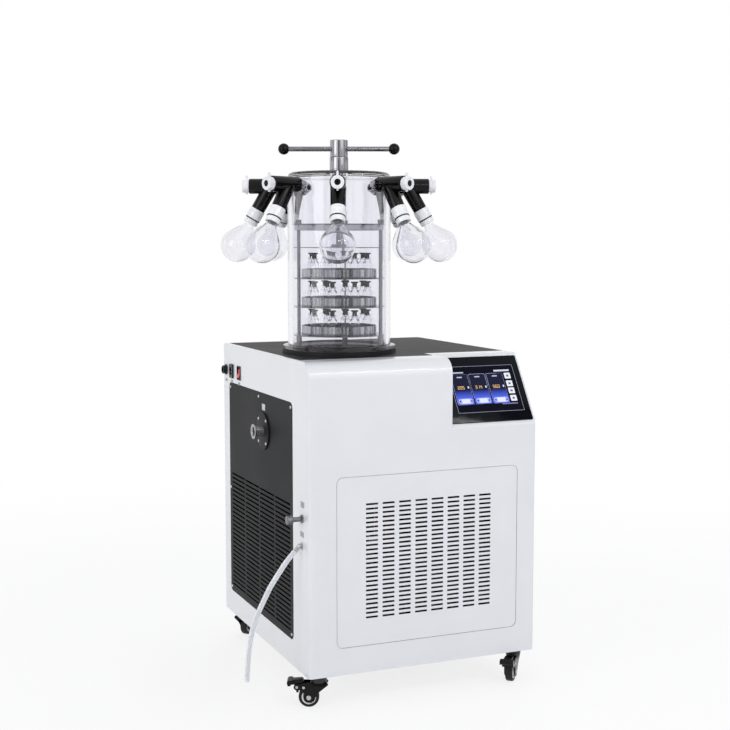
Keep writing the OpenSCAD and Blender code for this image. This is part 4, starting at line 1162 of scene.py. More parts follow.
@dataclass
class Studio:
    """Pale floor, soft lamps, dark cards that only reflections see, and the camera.

    The camera's place is in millimetres from the cabinet's corner; the floor's sizes are in metres.
    """

    camera_at: Tuple[float, float, float] = (-1083.2, -2930.8, 1162.2)
    yaw: float = -22.8
    pitch: float = -5.4
    lens: float = 64.03
    sensor: float = 36.0
    floor_half: float = 30.0
    floor_glow: float = 0.78
    glow_from: float = 0.7
    glow_whole: float = 3.2
    world_fill: float = 0.6
    fill_colour: Colour = (0.96, 0.98, 1.0, 1.0)
    bounces: int = 28
    clear_bounces: int = 16
    lamps: Tuple[Lamp, ...] = (
        Lamp("key_lamp", (0.9, -3.4, 2.6), (2.2, 2.2), 14.0),
        Lamp("left_lamp", (-3.4, -1.2, 2.0), (2.0, 2.0), 30.0),
        Lamp("back_lamp", (2.2, 3.0, 2.2), (2.4, 2.4), 34.0, mirrored=False),
        Lamp("top_lamp", (0.2, 0.4, 3.6), (2.4, 2.4), 8.0, mirrored=False),
        Lamp("strip_lamp", (0.3, -2.4, 2.5), (3.4, 0.09), 16.0),
    )
    cards: Tuple[Card, ...] = (
        Card("card_0", -2.0, 0.8, 0.15),
        Card("card_1", -66.0, 0.6, 0.25),
        Card("card_2", 74.0, 0.6, 0.25),
        Card("card_3", 120.0, 0.9, 0.15),
    )

    def camera(self) -> None:
        """Camera from the cabinet's corner, turned to the right and a little down."""
        data = bpy.data.cameras.new("camera")
        data.lens, data.sensor_width, data.clip_end = self.lens, self.sensor, 200.0
        eye = bpy.data.objects.new("camera", data)
        bpy.context.scene.collection.objects.link(eye)
        eye.location = Vector(carry(np.array(self.camera_at), PLACES.cabinet) * MM)
        eye.rotation_euler = (np.radians(90.0 + self.pitch), 0.0, np.radians(self.yaw))
        bpy.context.scene.camera = eye

    def seen_white(self, graph: Graph) -> Shade:
        """Factor that is 1 for rays from the camera, a mirror or through glass, and 0 for the rest.

        Args:
            graph: the nodes that the test is added to.

        Returns:
            The factor.
        """
        camera, mirror, glass = [graph.node("ShaderNodeLightPath", output=f"Is {ray} Ray")
                                 for ray in ("Camera", "Glossy", "Transmission")]
        return camera.larger(mirror).larger(glass)

    def world(self) -> None:
        """White where it is seen, a soft fill where it lights the machine."""
        world = bpy.data.worlds.new("studio")
        bpy.context.scene.world = world
        graph = Graph(world.name, world)
        fill = graph.node("ShaderNodeBackground", sockets={"Color": self.fill_colour, "Strength": self.world_fill})
        white = graph.node("ShaderNodeBackground", sockets={"Color": WHITE, "Strength": 1.0})
        graph.finish(graph.node("ShaderNodeMixShader", sockets={0: self.seen_white(graph), 1: fill, 2: white}))

    def floor(self) -> None:
        """Pale floor that keeps the machine's shadow."""
        half = self.floor_half
        mesh = bpy.data.meshes.new("floor")
        mesh.from_pydata([(-half, -half, 0), (half, -half, 0), (half, half, 0), (-half, half, 0)], [], [(0, 1, 2, 3)])
        floor = bpy.data.objects.new("floor", mesh)
        bpy.context.scene.collection.objects.link(floor)
        graph = Graph("studio_floor")
        grain = graph.noise(220.0, 3.0)
        colour = graph.mix(grain, tone(250, 250, 250), tone(246, 246, 247))
        lit = graph.node("ShaderNodeBsdfDiffuse", sockets={"Color": colour})
        glow = graph.node("ShaderNodeEmission", sockets={"Color": WHITE, "Strength": 1.0})
        away = graph.vector("LENGTH", graph.here(), output="Value")
        share = away.span(self.glow_from, self.glow_whole, self.floor_glow, 1.0)
        seen = self.seen_white(graph) * share
        mesh.materials.append(graph.finish(graph.node("ShaderNodeMixShader", sockets={0: seen, 1: lit, 2: glow})))

    def build(self) -> None:
        """Camera first, then floor, lamps and cards."""
        self.camera()
        self.world()
        self.floor()
        for lamp in self.lamps:
            lamp.build()
        for card in self.cards:
            card.build(self.yaw)
        view = bpy.context.scene.view_settings
        view.view_transform = "Standard"
        cycles = bpy.context.scene.cycles
        cycles.max_bounces = cycles.transmission_bounces = self.bounces
        cycles.transparent_max_bounces = self.clear_bounces


# ---------------------------------------------------------------- hose

@dataclass
class DrainHose:
    """Clear drain hose that hangs from its fitting to just above the floor."""

    outer_r: float = 6.5
    inner_r: float = 4.6
    length: float = 352.0
    route: Tuple[Tuple[float, float, float], ...] = (
        (-18, 50, 400), (-38, 51, 378), (-55, 52, 355), (-70, 53, 333), (-84, 54, 311), (-95, 55, 289),
        (-107, 56, 265), (-117, 58, 242), (-125, 59, 218), (-131, 60, 192), (-135, 61, 165), (-138, 62, 138),
        (-140, 62, 111), (-142, 63, 80))

    def build(self) -> None:
        """A tube wall along the route: outer skin, cut end, and bore."""
        path = carry(smooth_route(np.array(self.route, float), 5), PLACES.cabinet)
        outer = tube(path, np.full(len(path), self.outer_r), 28)
        inner = tube(path, np.full(len(path), self.inner_r), 28)
        wall = np.concatenate([outer, inner[:, ::-1]], axis=1)
        skin = Skin().sheet(wall[::-1], loop=True)
        hose = make("drain_tube", skin, [TUBE_PLASTIC], "root", ["drain_hose"])
        tuple(path[0] * MM)
        [tuple(p) for p in path * MM]


# ---------------------------------------------------------------- cabinet

@dataclass
class Cabinet:
    """White enamelled cabinet with its black top plate and side panel."""

    screw_r: float = 4.0
    screw_h: float = 2.4
    slot_deep: float = 1.4
    slot_half: float = 0.75
    slot_fade: float = 0.3
    slot_reach: float = 2.5
    side_front: float = 116.0
    side_rear: float = 60.0
    side_low: float = 67.0
    side_drop: float = 109.0
    screw_inset: float = 12.0
    port_y: float = 345.0
    port_drop: float = 210.0
    port_screws_at: float = 43.0
    port_plate_t: float = 4.0

    def sheet_metal(self) -> None:
        """Finishes of the sheet metal."""
        for node in ("cabinet_shell", "service_panel", "base_pan", "rear_panel"):
            dress(node, WHITE_ENAMEL)
        for node in ("top_plate", "side_panel"):
            dress(node, BLACK_ENAMEL)

    def screw_head(self) -> Array:
        """Pan head with a cross recess, as height over radius and angle.

        The height is a dome, h * (1 - 0.3 s^2) for the share s of the radius, falling round over its last fifth, less
        a recess along either arm's middle line, which slopes up over slot_fade and ends slot_reach from the centre.

        Returns:
            A grid of 48 bearings by 15 radii.
        """
        angle = bearings(48)
        share = np.linspace(1.0, 0.0, 15)[None, :]
        x, y = self.screw_r * share * np.cos(angle), self.screw_r * share * np.sin(angle)
        rim = np.sqrt(np.clip(1 - ((share - 0.8) / 0.2).clip(0, 1) ** 2, 0, 1))
        dome = (self.screw_h * (1 - 0.3 * share ** 2)) * (0.35 + 0.65 * rim) * (share < 0.999)
        arm = np.minimum(np.abs(x), np.abs(y))
        across = np.clip((self.slot_half - arm) / self.slot_fade, 0, 1)
        along = np.clip((self.slot_reach - self.screw_r * share) / 0.4, 0, 1)
        return np.stack([x, y, dome - self.slot_deep * across * along], axis=2)

    def screws(self) -> None:
        """Heads along the side panel's border and on the vacuum port's plate."""
        _, depth, height = PLACES.cabinet_size
        base = PLACES.top_z - height
        low = np.array([self.side_front, base + self.side_low])
        high = np.array([depth - self.side_rear, PLACES.top_z - self.side_drop])
        mid, edge = (low + high) / 2, self.screw_inset / 2 + 2
        places = [(y, z, 0.0) for y in (low[0] + self.screw_inset, mid[0], high[0] - self.screw_inset)
                  for z in (low[1] + self.screw_inset, high[1] - self.screw_inset)]
        places += [(y, mid[1], 0.0) for y in (low[0] + edge, high[0] - edge)]
        for angle in np.radians([45.0, 135.0, 225.0, 315.0]):
            across, up = self.port_screws_at * np.cos(angle), self.port_screws_at * np.sin(angle)
            places.append((self.port_y + across, PLACES.top_z - self.port_drop + up, self.port_plate_t))
        skin = Skin()
        for number, (y, z, out) in enumerate(places):
            where = PLACES.side(y, z) @ shift(0, 0, out) @ turn(Axis.Z, 37.0 * number)
            skin.sheet(self.screw_head(), where)
        make("panel_screw_heads", skin, [BRIGHT_STEEL], "root", ["panel_screws"])

    def build(self) -> None:
        """Dresses the sheet metal and adds the screws."""
        self.sheet_metal()
        self.screws()


@dataclass
class Console:
    """Touch screen: glass slab, housing behind it and the lit picture."""

    glass_w: float = 237.0
    glass_h: float = 191.0
    glass_t: float = 3.0
    housing_in: float = 16.0
    housing_t: float = 30.0
    corner_r: float = 4.0
    layer: float = 0.04
    card_w: float = 49.0
    card_low: float = 51.0
    card_high: float = 140.0
    fade_top: float = 92.0
    fade_step: float = 3.0
    digit_pitch: float = 7.0
    cards: Tuple[Tuple[float, str], ...] = ((30.5, "205"), (82.0, "314"), (134.0, "560"))
    key_feet: Tuple[float, ...] = (122.0, 99.0, 78.0, 56.0)

    def patch(self, skin: Skin, box: Tuple[float, float, float, float], radius: float, colour: Colour,
              layer: int) -> None:
        """One flat patch of the picture.

        Args:
            skin: the picture's skin.
            box: left, right, low and high on the glass.
            radius: of its corners.
            colour: its own glow.
            layer: how many patches it lies on.
        """
        left, right, low, high = box
        flat = distinct(box_loop(right - left, high - low, radius) + [(left + right) / 2, (low + high) / 2])
        out = np.full(len(flat), -self.glass_t - self.layer * (layer + 1))
        skin.lid(np.column_stack([flat[:, 0], out, flat[:, 1]]), PLACES.console, tint=colour)

    def digit(self, skin: Skin, figure: str, x: float, z: float, colour: Colour) -> None:
        """Seven-bar figure.

        Args:
            skin: the picture's skin.
            figure: the figure, of those that the readings use.
            x: its left edge on the glass.
            z: its foot.
            colour: its glow.
        """
        lit = {"0": "abcdef", "1": "bc", "2": "abged", "3": "abgcd", "4": "fgbc", "5": "afgcd", "6": "afgedc"}[figure]
        wide, tall, bar = 4.2, 4.0, 1.1
        bars = {"a": (0, 2 * tall, True), "b": (wide, tall, False), "c": (wide, 0, False), "d": (0, 0, True),
                "e": (0, 0, False), "f": (0, tall, False), "g": (0, tall, True)}
        for name in lit:
            left, low, level = bars[name]
            right, high = (wide + bar, low + bar) if level else (left + bar, low + tall + bar)
            self.patch(skin, (x + left, x + right, z + low, z + high), 0.3, colour, 4)

    def card(self, skin: Skin, left: float, reading: str) -> None:
        """One reading card: outline, dark head fading into a blue foot, the figure and a pill switch.

        Args:
            skin: the picture's skin.
            left: left edge of the card on the glass.
            reading: its three figures.
        """
        lilac, dark = tone(182, 182, 226), tone(30, 32, 54)
        fade = np.linspace(tone(34, 46, 120), tone(84, 106, 236), 8)
        right, low, high, line = left + self.card_w, self.card_low, self.card_high, 1.0
        self.patch(skin, (left, right, low, high), 4.0, lilac, 1)
        self.patch(skin, (left + line, right - line, low + line, high - line), 3.2, dark, 2)
        for step, colour in enumerate(fade):
            top = self.fade_top - self.fade_step * step
            self.patch(skin, (left + line, right - line, low + line, top), 1.0, tuple(colour), 3 + step)
        self.patch(skin, (left + 17.0, left + 32.0, 129.5, 133.0), 0.6, tone(190, 195, 215), 3)
        for place, figure in enumerate(reading):
            self.digit(skin, figure, left + 12.0 + self.digit_pitch * place, 96.0, tone(255, 208, 142))
        self.patch(skin, (left + 41.0, left + 45.0, 98.0, 104.0), 0.8, tone(225, 230, 245), 4)
        self.patch(skin, (left + 4.0, left + 46.0, 53.5, 69.0), 6.5, tone(172, 182, 244), 11)
        self.patch(skin, (left + 14.0, left + 37.0, 55.0, 67.5), 1.0, tone(226, 232, 255), 12)
        for middle in (left + 9.0, left + 42.0):
            self.patch(skin, (middle - 2.2, middle + 2.2, 59.0, 63.4), 1.9, tone(30, 34, 96), 13)

    def picture(self) -> None:
        """Three reading cards, a column of four square keys and three thin strips."""
        skin = Skin()
        self.patch(skin, (26.0, 219.0, 28.0, 163.0), 1.0, tone(176, 180, 200), 0)
        self.patch(skin, (26.8, 218.2, 28.8, 162.2), 0.6, tone(8, 10, 22), 1)
        for left, reading in self.cards:
            self.card(skin, left, reading)
        for low in self.key_feet:
            self.patch(skin, (188.0, 206.0, low, low + 17.0), 1.5, tone(236, 238, 246), 2)
            self.patch(skin, (193.5, 200.5, low + 5.5, low + 11.5), 1.2, tone(110, 116, 150), 3)
        for strip, colour in (((39.0, 70.0, 143.0, 146.5), tone(200, 204, 224)),
                              ((160.0, 206.0, 144.0, 149.0), tone(214, 218, 236)),
                              ((159.0, 205.0, 47.5, 51.0), tone(120, 126, 170))):
            self.patch(skin, strip, 0.8, colour, 2)
        make("screen_picture", skin, [PICTURE], "root")

    def build(self) -> None:
        """The slab stands proud of the slope and its housing fills the cut-out behind."""
        slab_place = PLACES.console @ shift(self.glass_w / 2, 0, self.glass_h / 2) @ turn(Axis.X, 90.0)
        skin = Skin()
        skin.block(slab(box_loop(self.glass_w, self.glass_h, self.corner_r), soft(0.0, self.glass_t, 0.8)), slab_place)
        inner = box_loop(self.glass_w - 2 * self.housing_in, self.glass_h - 2 * self.housing_in, 2.0)
        skin.block(slab(inner, soft(-self.housing_t, 0.0, 1.0)), slab_place, 1)
        make("touch_glass", skin, [BLACK_GLASS, BLACK_PLASTIC], "root", ["touch_screen"])
        self.picture()


# ---------------------------------------------------------------- side fittings

@dataclass
class SideFittings:
    """Switch, power inlet, gauge socket, vacuum port, air valve and drain on the cabinet's left side."""

    socket_drop: float = 75.0
    switch_back: float = 153.0
    inlet_back: float = 85.0
    gauge_back: float = 31.0
    rocker_half: float = 15.0
    rocker_w: float = 23.0
    rocker_lean: float = 10.0
    rocker_pivot: float = 4.0
    vacuum_y: float = 345.0
    vacuum_drop: float = 210.0
    air_y: float = 47.0
    air_z: float = 480.0
    switch_size: Tuple[float, float] = (40.0, 32.0)
    inlet_size: Tuple[float, float] = (40.0, 34.0)
    well: float = 11.0
    pins: Tuple[Tuple[float, float], ...] = ((5.0, 0.0), (-3.5, -4.5), (-3.5, 4.5))
    flange_r: float = 14.0
    bore_r: float = 12.5
    plate_r: float = 50.0
    grip_r: float = 11.0
    grip_l: float = 17.0
    grip_at: float = 24.3
    knurls: int = 24
    knurl_depth: float = 0.035
    label_w: float = 26.0

    def socket_frame(self, skin: Skin, where: Array, size: Tuple[float, float], hole: Tuple[float, float],
                     out: float, deep: float) -> None:
        """Moulded frame with a rectangular well: up its side, over the face and down the well.

        Args:
            skin: the skin that it joins.
            where: its place, with z outward.
            size: height and width of the frame.
            hole: height and width of the well.
            out: how far the face stands out.
            deep: the well's depth.
        """
        height, width = size
        tall, wide = hole
        stations = [(box_loop(height, width, 3.0), 0.0), (box_loop(height, width, 3.0), out - 1.0),
                    (box_loop(height - 0.6, width - 0.6, 2.7), out - 0.3), (box_loop(height - 2, width - 2, 2.0), out),
                    (box_loop(tall + 1, wide + 1, 1.5), out), (box_loop(tall, wide, 1.0), out - 0.6),
                    (box_loop(tall, wide, 1.0), -deep)]
        grid = loft(stations)
        skin.sheet(grid, where).lid(grid[:, -1], where)

    def sockets(self) -> None:
        """Switch frame, inlet with three pins, and the gauge's round socket."""
        depth = PLACES.cabinet_size[1]
        z = PLACES.top_z - self.socket_drop
        switch = Skin()
        self.socket_frame(switch, PLACES.side(depth - self.switch_back, z), self.switch_size,
                          (2 * self.rocker_half + 4, self.rocker_w + 1), 2.5, 14.0)
        make("switch_frame", switch, [BLACK_PLASTIC], "root")
        skin = Skin()
        inlet = PLACES.side(depth - self.inlet_back, z)
        face = box_loop(*self.inlet_size, 4.0)
        stations = [(face, 0.0), (face, 3.0), (inset(face, 0.3), 3.7), (inset(face, 1.0), 4.0),
                    (ring_loop(12.6), 4.0), (ring_loop(11.6), 3.6), (ring_loop(11.0), 2.8),
                    (ring_loop(11.0), -self.well)]
        grid = loft(stations)
        skin.sheet(grid, inlet).lid(grid[:, -1], inlet)
        for x, y in self.pins:
            pin = slab(box_loop(5.0, 2.0, 0.6, 3), soft(-self.well, 1.5, 0.5))
            skin.block(pin, inlet @ shift(x, y), 1)
        gauge = PLACES.side(depth - self.gauge_back, z)
        skin.sheet(turned([(0, -1), (8, -1), (8, 12), (11.8, 12), (11.8, 4), (15, 4), (15, 0), (0, 0)][::-1],
                          [0, 1.0, 1.0, 0.6, 0.9, 0.9, 0.4, 0], 48), gauge)
        for angle in np.radians([0.0, 90.0, 180.0, 270.0]):
            contact = turned([(0, -1), (1.1, -1), (1.1, 6), (0, 6)], [0, 0, 0.5, 0], 12)
            skin.sheet(contact, gauge @ shift(4 * np.cos(angle), 4 * np.sin(angle)), 1)
        make("side_socket_set", skin, [BLACK_PLASTIC, BRIGHT_STEEL], "root", ["side_sockets"])

    def rocker(self) -> None:
        """Shallow V on a pivot, with rounded rims."""
        half = self.rocker_half
        outline = rounded([(7, half), (-2, half), (-5, 0), (-2, -half), (7, -half), (4, 0)],
                          [6, 1.2, 2, 4, 2, 1.2], steps=4)
        where = (PLACES.cabinet @ shift(self.rocker_pivot, PLACES.cabinet_size[1] - self.switch_back,
                                        PLACES.top_z - self.socket_drop) @ turn(Axis.Y, self.rocker_lean)
                 @ turn(Axis.Z, 180.0) @ turn(Axis.X, 90.0))
        skin = Skin().block(slab(outline, soft(-self.rocker_w / 2, self.rocker_w / 2, 0.7)), where)
        make("rocker_cap", skin, [RED_PLASTIC], "rocker", ["power_rocker"])

    def vacuum(self) -> None:
        """Round black plate and the steel flange of the pump port, open down its bore."""
        where = PLACES.side(self.vacuum_y, PLACES.top_z - self.vacuum_drop)
        skin = Skin()
        pipe, inner = self.flange_r, self.bore_r
        plate = [(pipe, 0), (self.plate_r, 0), (self.plate_r, 4), (pipe, 4)]
        skin.sheet(turned(plate, [0, 0.2, 1.0, 0], 96), where)
        bore = [(inner, 20), (inner, -60), (0, -60)]
        flange = [(pipe, -20), (pipe, 24), (20, 26.8), (20, 30), (pipe + 0.2, 30), (pipe + 0.2, 28.2), (inner, 28.2),
                  (inner, 20)]
        skin.sheet(turned(flange, [0, 0, 0.5, 0.3, 0.3, 0.7, 0.7, 0], 72), where, 1)
        skin.sheet(turned(bore, 0, 72), where)
        make("vacuum_flange", skin, [BLACK_PLATE, FLANGE_STEEL], "root", ["vacuum_port"])

    def air_valve(self) -> None:
        """Needle valve: hexagon, stem and a knurled knob.

        The knob's radius dips between knurls by knurl_depth times the square of 0.5 + 0.5 cos(knurls * angle), on
        its rim alone.
        """
        where = PLACES.side(self.air_y, self.air_z)
        hexagon = rounded(ring_loop(11.0, 6), 1.0, steps=3)
        skin = Skin().block(slab(hexagon, soft(0.0, 4.0, 0.6)), where)
        skin.sheet(turned([(0, 3), (6, 3), (6, 24), (4, 24.5), (4, 37), (0, 37)], [0, 0, 0.8, 0.4, 0.5, 0], 40), where)
        make("air_valve_stem", skin, [KNURL_STEEL], "root", ["air_valve_body"])
        r, sides = self.grip_r, 6 * self.knurls
        profile = rounded([(4.2, 0), (8, 0), (8, 3.2), (r, 3.2), (r, self.grip_l), (0, self.grip_l)],
                          [0, 0.6, 0.5, 1.0, 1.2, 0], closed=False, steps=4)
        grid = revolve(profile, sides)
        rim = np.clip((profile[:, 0] - 9.5) / 0.8, 0, 1) * np.clip((profile[:, 1] - 4.2) / 0.8, 0, 1)
        ripple = 1 - self.knurl_depth * rim * (0.5 + 0.5 * np.cos(self.knurls * bearings(sides))) ** 2
        grid[..., :2] *= ripple[..., None]
        knob = Skin().sheet(grid, where @ shift(0, 0, self.grip_at))
        make("air_valve_grip", knob, [KNURL_STEEL], "air_knob", ["air_valve_knob"])

    def labels(self) -> None:
        """Bare paper labels by the vacuum port, the valve, the drain and the sockets."""
        depth, z = PLACES.cabinet_size[1], PLACES.top_z - self.socket_drop
        places = [(self.vacuum_y, PLACES.top_z - self.vacuum_drop + 64.0, self.label_w, 17.0, 0),
                  (self.air_y - 2.0, self.air_z + 36.0, self.label_w, 15.0, 1),
                  (self.air_y + 2.0, self.air_z - 39.0, self.label_w, 14.0, 1)]
        places += [(depth - back, z - 30.0, 20.0, 8.0, 1)
                   for back in (self.switch_back, self.inlet_back, self.gauge_back)]
        skin = Skin()
        for y, height, wide, tall, kind in places:
            skin.block(slab(box_loop(tall, wide, 1.0, 3), [(0.0, 0.02), (0.0, 0.16), (0.06, 0.2)]),
                       PLACES.side(y, height), kind)
        make("bare_labels", skin, [LABEL_PAPER, GREY_LABEL], "root")

    def build(self) -> None:
        """All fittings of the left side."""
        self.sockets()
        self.labels()
        self.rocker()
        self.vacuum()
        self.air_valve()
        dress("drain_fitting", BRIGHT_STEEL)


# ---------------------------------------------------------------- casters

@dataclass
class Casters:
    """Twin-leg swivel casters; the two at the front have brake pedals."""

    wheel_r: float = 26.0
    wheel_w: float = 20.0
    tread_r: float = 24.0
    rim_r: float = 18.0
    dish_r: float = 14.0
    hub_r: float = 8.0
    axle_r: float = 5.0
    leg_in: float = 12.0
    leg_out: float = 15.0
    crown: float = 64.0
    pedal_half: float = 18.0
    brakes: Tuple[Corner, ...] = (Corner.FRONT_LEFT, Corner.FRONT_RIGHT)

    def wheel(self, corner: Corner) -> None:
        """Tyre with round shoulders on a white rim, which dishes in to the hub.

        Args:
            corner: where the caster is.
        """
        where = PLACES.wheel(corner) @ shift(0, self.wheel_r)
        half, r, tread, seat = self.wheel_w / 2, self.wheel_r, self.tread_r, self.rim_r
        skin = Skin()
        tyre = [(seat, -half + 1), (tread, -half), (r, -half + 3), (r, half - 3), (tread, half), (seat, half - 1)]
        skin.sheet(turned(tyre, [0.8, 2.0, 2.4, 2.4, 2.0, 0.8], 72, closed=True), where, loop=True)
        side = [(self.axle_r, half + 1.6), (self.hub_r, half + 1.6), (self.hub_r, half - 3.5),
                (self.dish_r, half - 3.5), (self.dish_r + 1, half - 0.4), (seat + 0.2, half - 0.4)]
        rim = [(radius, -out) for radius, out in side] + side[::-1]
        skin.sheet(turned(rim, 0.5, 64, closed=True), where, 1, loop=True)
        place = corner.value
        make(f"caster_tyre_{place}", skin, [TYRE_RUBBER, WHITE_PLASTIC], f"wheel_{place}",
             [f"caster_wheel_{place}"])

    def leg_outline(self, brake: bool) -> Array:
        """Side view of a leg: a round lobe at the axle that widens up to the crown, and the brake's ear.

        Args:
            brake: whether the caster has a brake.

        Returns:
            Anticlockwise points of two numbers.
        """
        right = [(13, 13), (17, 27), (25.5, 39.5), (49, 59), (47, self.crown)]
        left = [(-14, self.crown), (-20, 60), (-20, 50), (-13, 40), (-13, 13)]
        radii_right, radii_left = [12.9, 5, 8, 2.5, 2.5], [2, 3, 4, 6, 12.9]
        if brake:
            left = [(-14, self.crown), (-19, 61), (-38, 61), (-38, 45), (-18, 45), (-13, 38), (-13, 13)]
            radii_left = [2, 4, 7.9, 7.9, 3, 4, 12.9]
        return rounded(right + left, radii_right + radii_left, steps=6)

    def rivet(self, skin: Skin, where: Array, at: Tuple[float, float], radius: float, rise: float) -> None:
        """Domed head on the outside of each leg.

        Args:
            skin: the fork's skin.
            where: the wheel plane's place.
            at: where the head sits on that plane.
            radius: of the head.
            rise: height of its dome.
        """
        head = turned([(radius, 0), (radius, rise * 0.5), (radius * 0.6, rise), (0, rise)],
                      [0, rise * 0.3, rise * 0.5, 0], 28)
        for side in (0.0, 180.0):
            skin.sheet(head, where @ shift(*at) @ turn(Axis.X, side) @ shift(0, 0, self.leg_out), 1)

    def fork(self, corner: Corner) -> None:
        """Two legs, the hood over the wheel and the rivet heads.

        Args:
            corner: where the caster is.
        """
        where = PLACES.wheel(corner)
        brake = corner in self.brakes
        skin = Skin()
        for low in (self.leg_in, -self.leg_out):
            skin.block(slab(self.leg_outline(brake), soft(low, low + self.leg_out - self.leg_in, 0.9)), where)
        hood = box_loop(42.0, 2 * self.leg_out, 3.0) + [25.0, 0.0]
        skin.block(slab(hood, soft(54.5, self.crown, 1.2)), where @ turn(Axis.X, -90.0))
        self.rivet(skin, where, (0.0, self.wheel_r), 6.0, 2.0)
        self.rivet(skin, where, (-13.0, 52.0), 3.5, 1.0)
        if brake:
            self.rivet(skin, where, (-30.0, 53.0), 3.5, 1.0)
        place = corner.value
        make(f"caster_yoke_{place}", skin, [BLACK_NYLON, BRIGHT_STEEL], f"fork_{place}",
             [f"caster_fork_{place}"])

    def pedal(self, corner: Corner) -> None:
        """Tongue between the legs and the wide round lip that a shoe presses.

        Args:
            corner: where the caster is.
        """
        where = PLACES.wheel(corner)
        skin = Skin()
        tongue = rounded([(-42, 58), (-33, 58), (-25, 54), (-20, 60), (-12, 67), (-16, 72), (-42, 70.5)],
                         [2, 3, 1, 3, 1.5, 2, 2], steps=4)
        skin.block(slab(tongue, soft(-11.0, 11.0, 1.2)), where)
        pad = rounded([(-34, 53), (-31, 38), (-26, 38), (-25, 53), (-27, 58), (-33, 58)], 1.0, steps=3)
        skin.block(slab(pad, soft(-10.8, 10.8, 1.0)), where)
        lip = rounded([(-48, 57), (-41, 61), (-40, 71), (-48, 71), (-55, 71), (-55, 57)],
                      [6, 2, 2, 2, 6.9, 6.9], steps=6)
        rims = soft(-self.pedal_half, self.pedal_half, 1.8)
        ribs = [(0.0 if i % 2 else 0.5, z) for i, z in enumerate(np.linspace(-15.0, 15.0, 13))]
        skin.block(slab(lip, rims[:4] + ribs + rims[4:]), where)
        place = corner.value
        make(f"pedal_lever_{place}", skin, [BLACK_NYLON], f"pedal_{place}", [f"brake_pedal_{place}"])

    def build(self) -> None:
        """All four casters."""
        for corner in Corner:
            self.wheel(corner)
            self.fork(corner)
            if corner in self.brakes:
                self.pedal(corner)
        dress("caster_plates", BLACK_STEEL)


# ---------------------------------------------------------------- machinery

@dataclass
class Machinery:
    """Refrigeration plant inside the cabinet."""

    finishes: Tuple[Tuple[str, Finish], ...] = (
        ("cold_trap", TRAP_METAL), ("compressor", BLACK_STEEL), ("condenser", SHADED_FINS), ("condenser_fan", BLACK_PLASTIC))

    def build(self) -> None:
        """Dresses each piece."""
        for node, finish in self.finishes:
            dress(node, finish)


# ---------------------------------------------------------------- chamber

@dataclass
class Chamber:
    """Clear bell on its rubber seal, with the steel boss that guides the press."""

    bell_r: float = 137.0
    bell_wall: float = 12.0
    foot_r: float = 150.0
    foot_t: float = 10.0
    top_t: float = 15.0
    shoulder_r: float = 14.0
    neck_r: float = 16.2
    boss_r: float = 25.0
    boss_bore_r: float = 13.1
    spigot_r: float = 16.0
    groove: float = 0.8

    def bell(self) -> None:
        """Turned shell: foot flange, wall, round shoulder and flat top with the boss's hole."""
        low, high = corner_of("chamber_bell")[2], corner_of("chamber_bell", True)[2]
        inner, foot, ceiling = self.bell_r - self.bell_wall, low + self.foot_t, high - self.top_t
        profile = [(inner, low), (self.foot_r, low), (self.foot_r, foot), (self.bell_r, foot),
                   (self.bell_r, high), (self.neck_r, high), (self.neck_r, ceiling), (inner, ceiling)]
        grid = turned(profile, [1.0, 1.5, 1.5, 3.0, self.shoulder_r, 0.8, 0.8, 7.0], 192, closed=True, steps=9)
        make("bell_jar", Skin().sheet(grid, PLACES.chamber, loop=True), [ACRYLIC], "root",
             ["chamber_bell"])

    def boss(self) -> None:
        """Stepped steel boss on the bell's top, with a groove near its foot."""
        low = corner_of("chamber_bell", True)[2]
        high = corner_of("lid_boss", True)[2]
        ceiling, bore, r, waist = low - self.top_t, self.boss_bore_r, self.boss_r, self.boss_r - self.groove
        profile = [(bore, ceiling), (self.spigot_r, ceiling), (self.spigot_r, low), (r, low), (r, low + 5),
                   (waist, low + 5.6), (waist, low + 7.4), (r, low + 8), (r, high), (bore, high)]
        grid = turned(profile, [0, 0, 0, 0.8, 0.3, 0.3, 0.3, 0.3, 1.2, 0], 96, closed=True, steps=4)
        make("boss_turning", Skin().sheet(grid, PLACES.chamber, loop=True), [HUB_STEEL], "root",
             ["lid_boss"])

    def build(self) -> None:
        """Bell, boss and seal."""
        self.bell()
        self.boss()
        dress("chamber_gasket", SEAL_RUBBER)


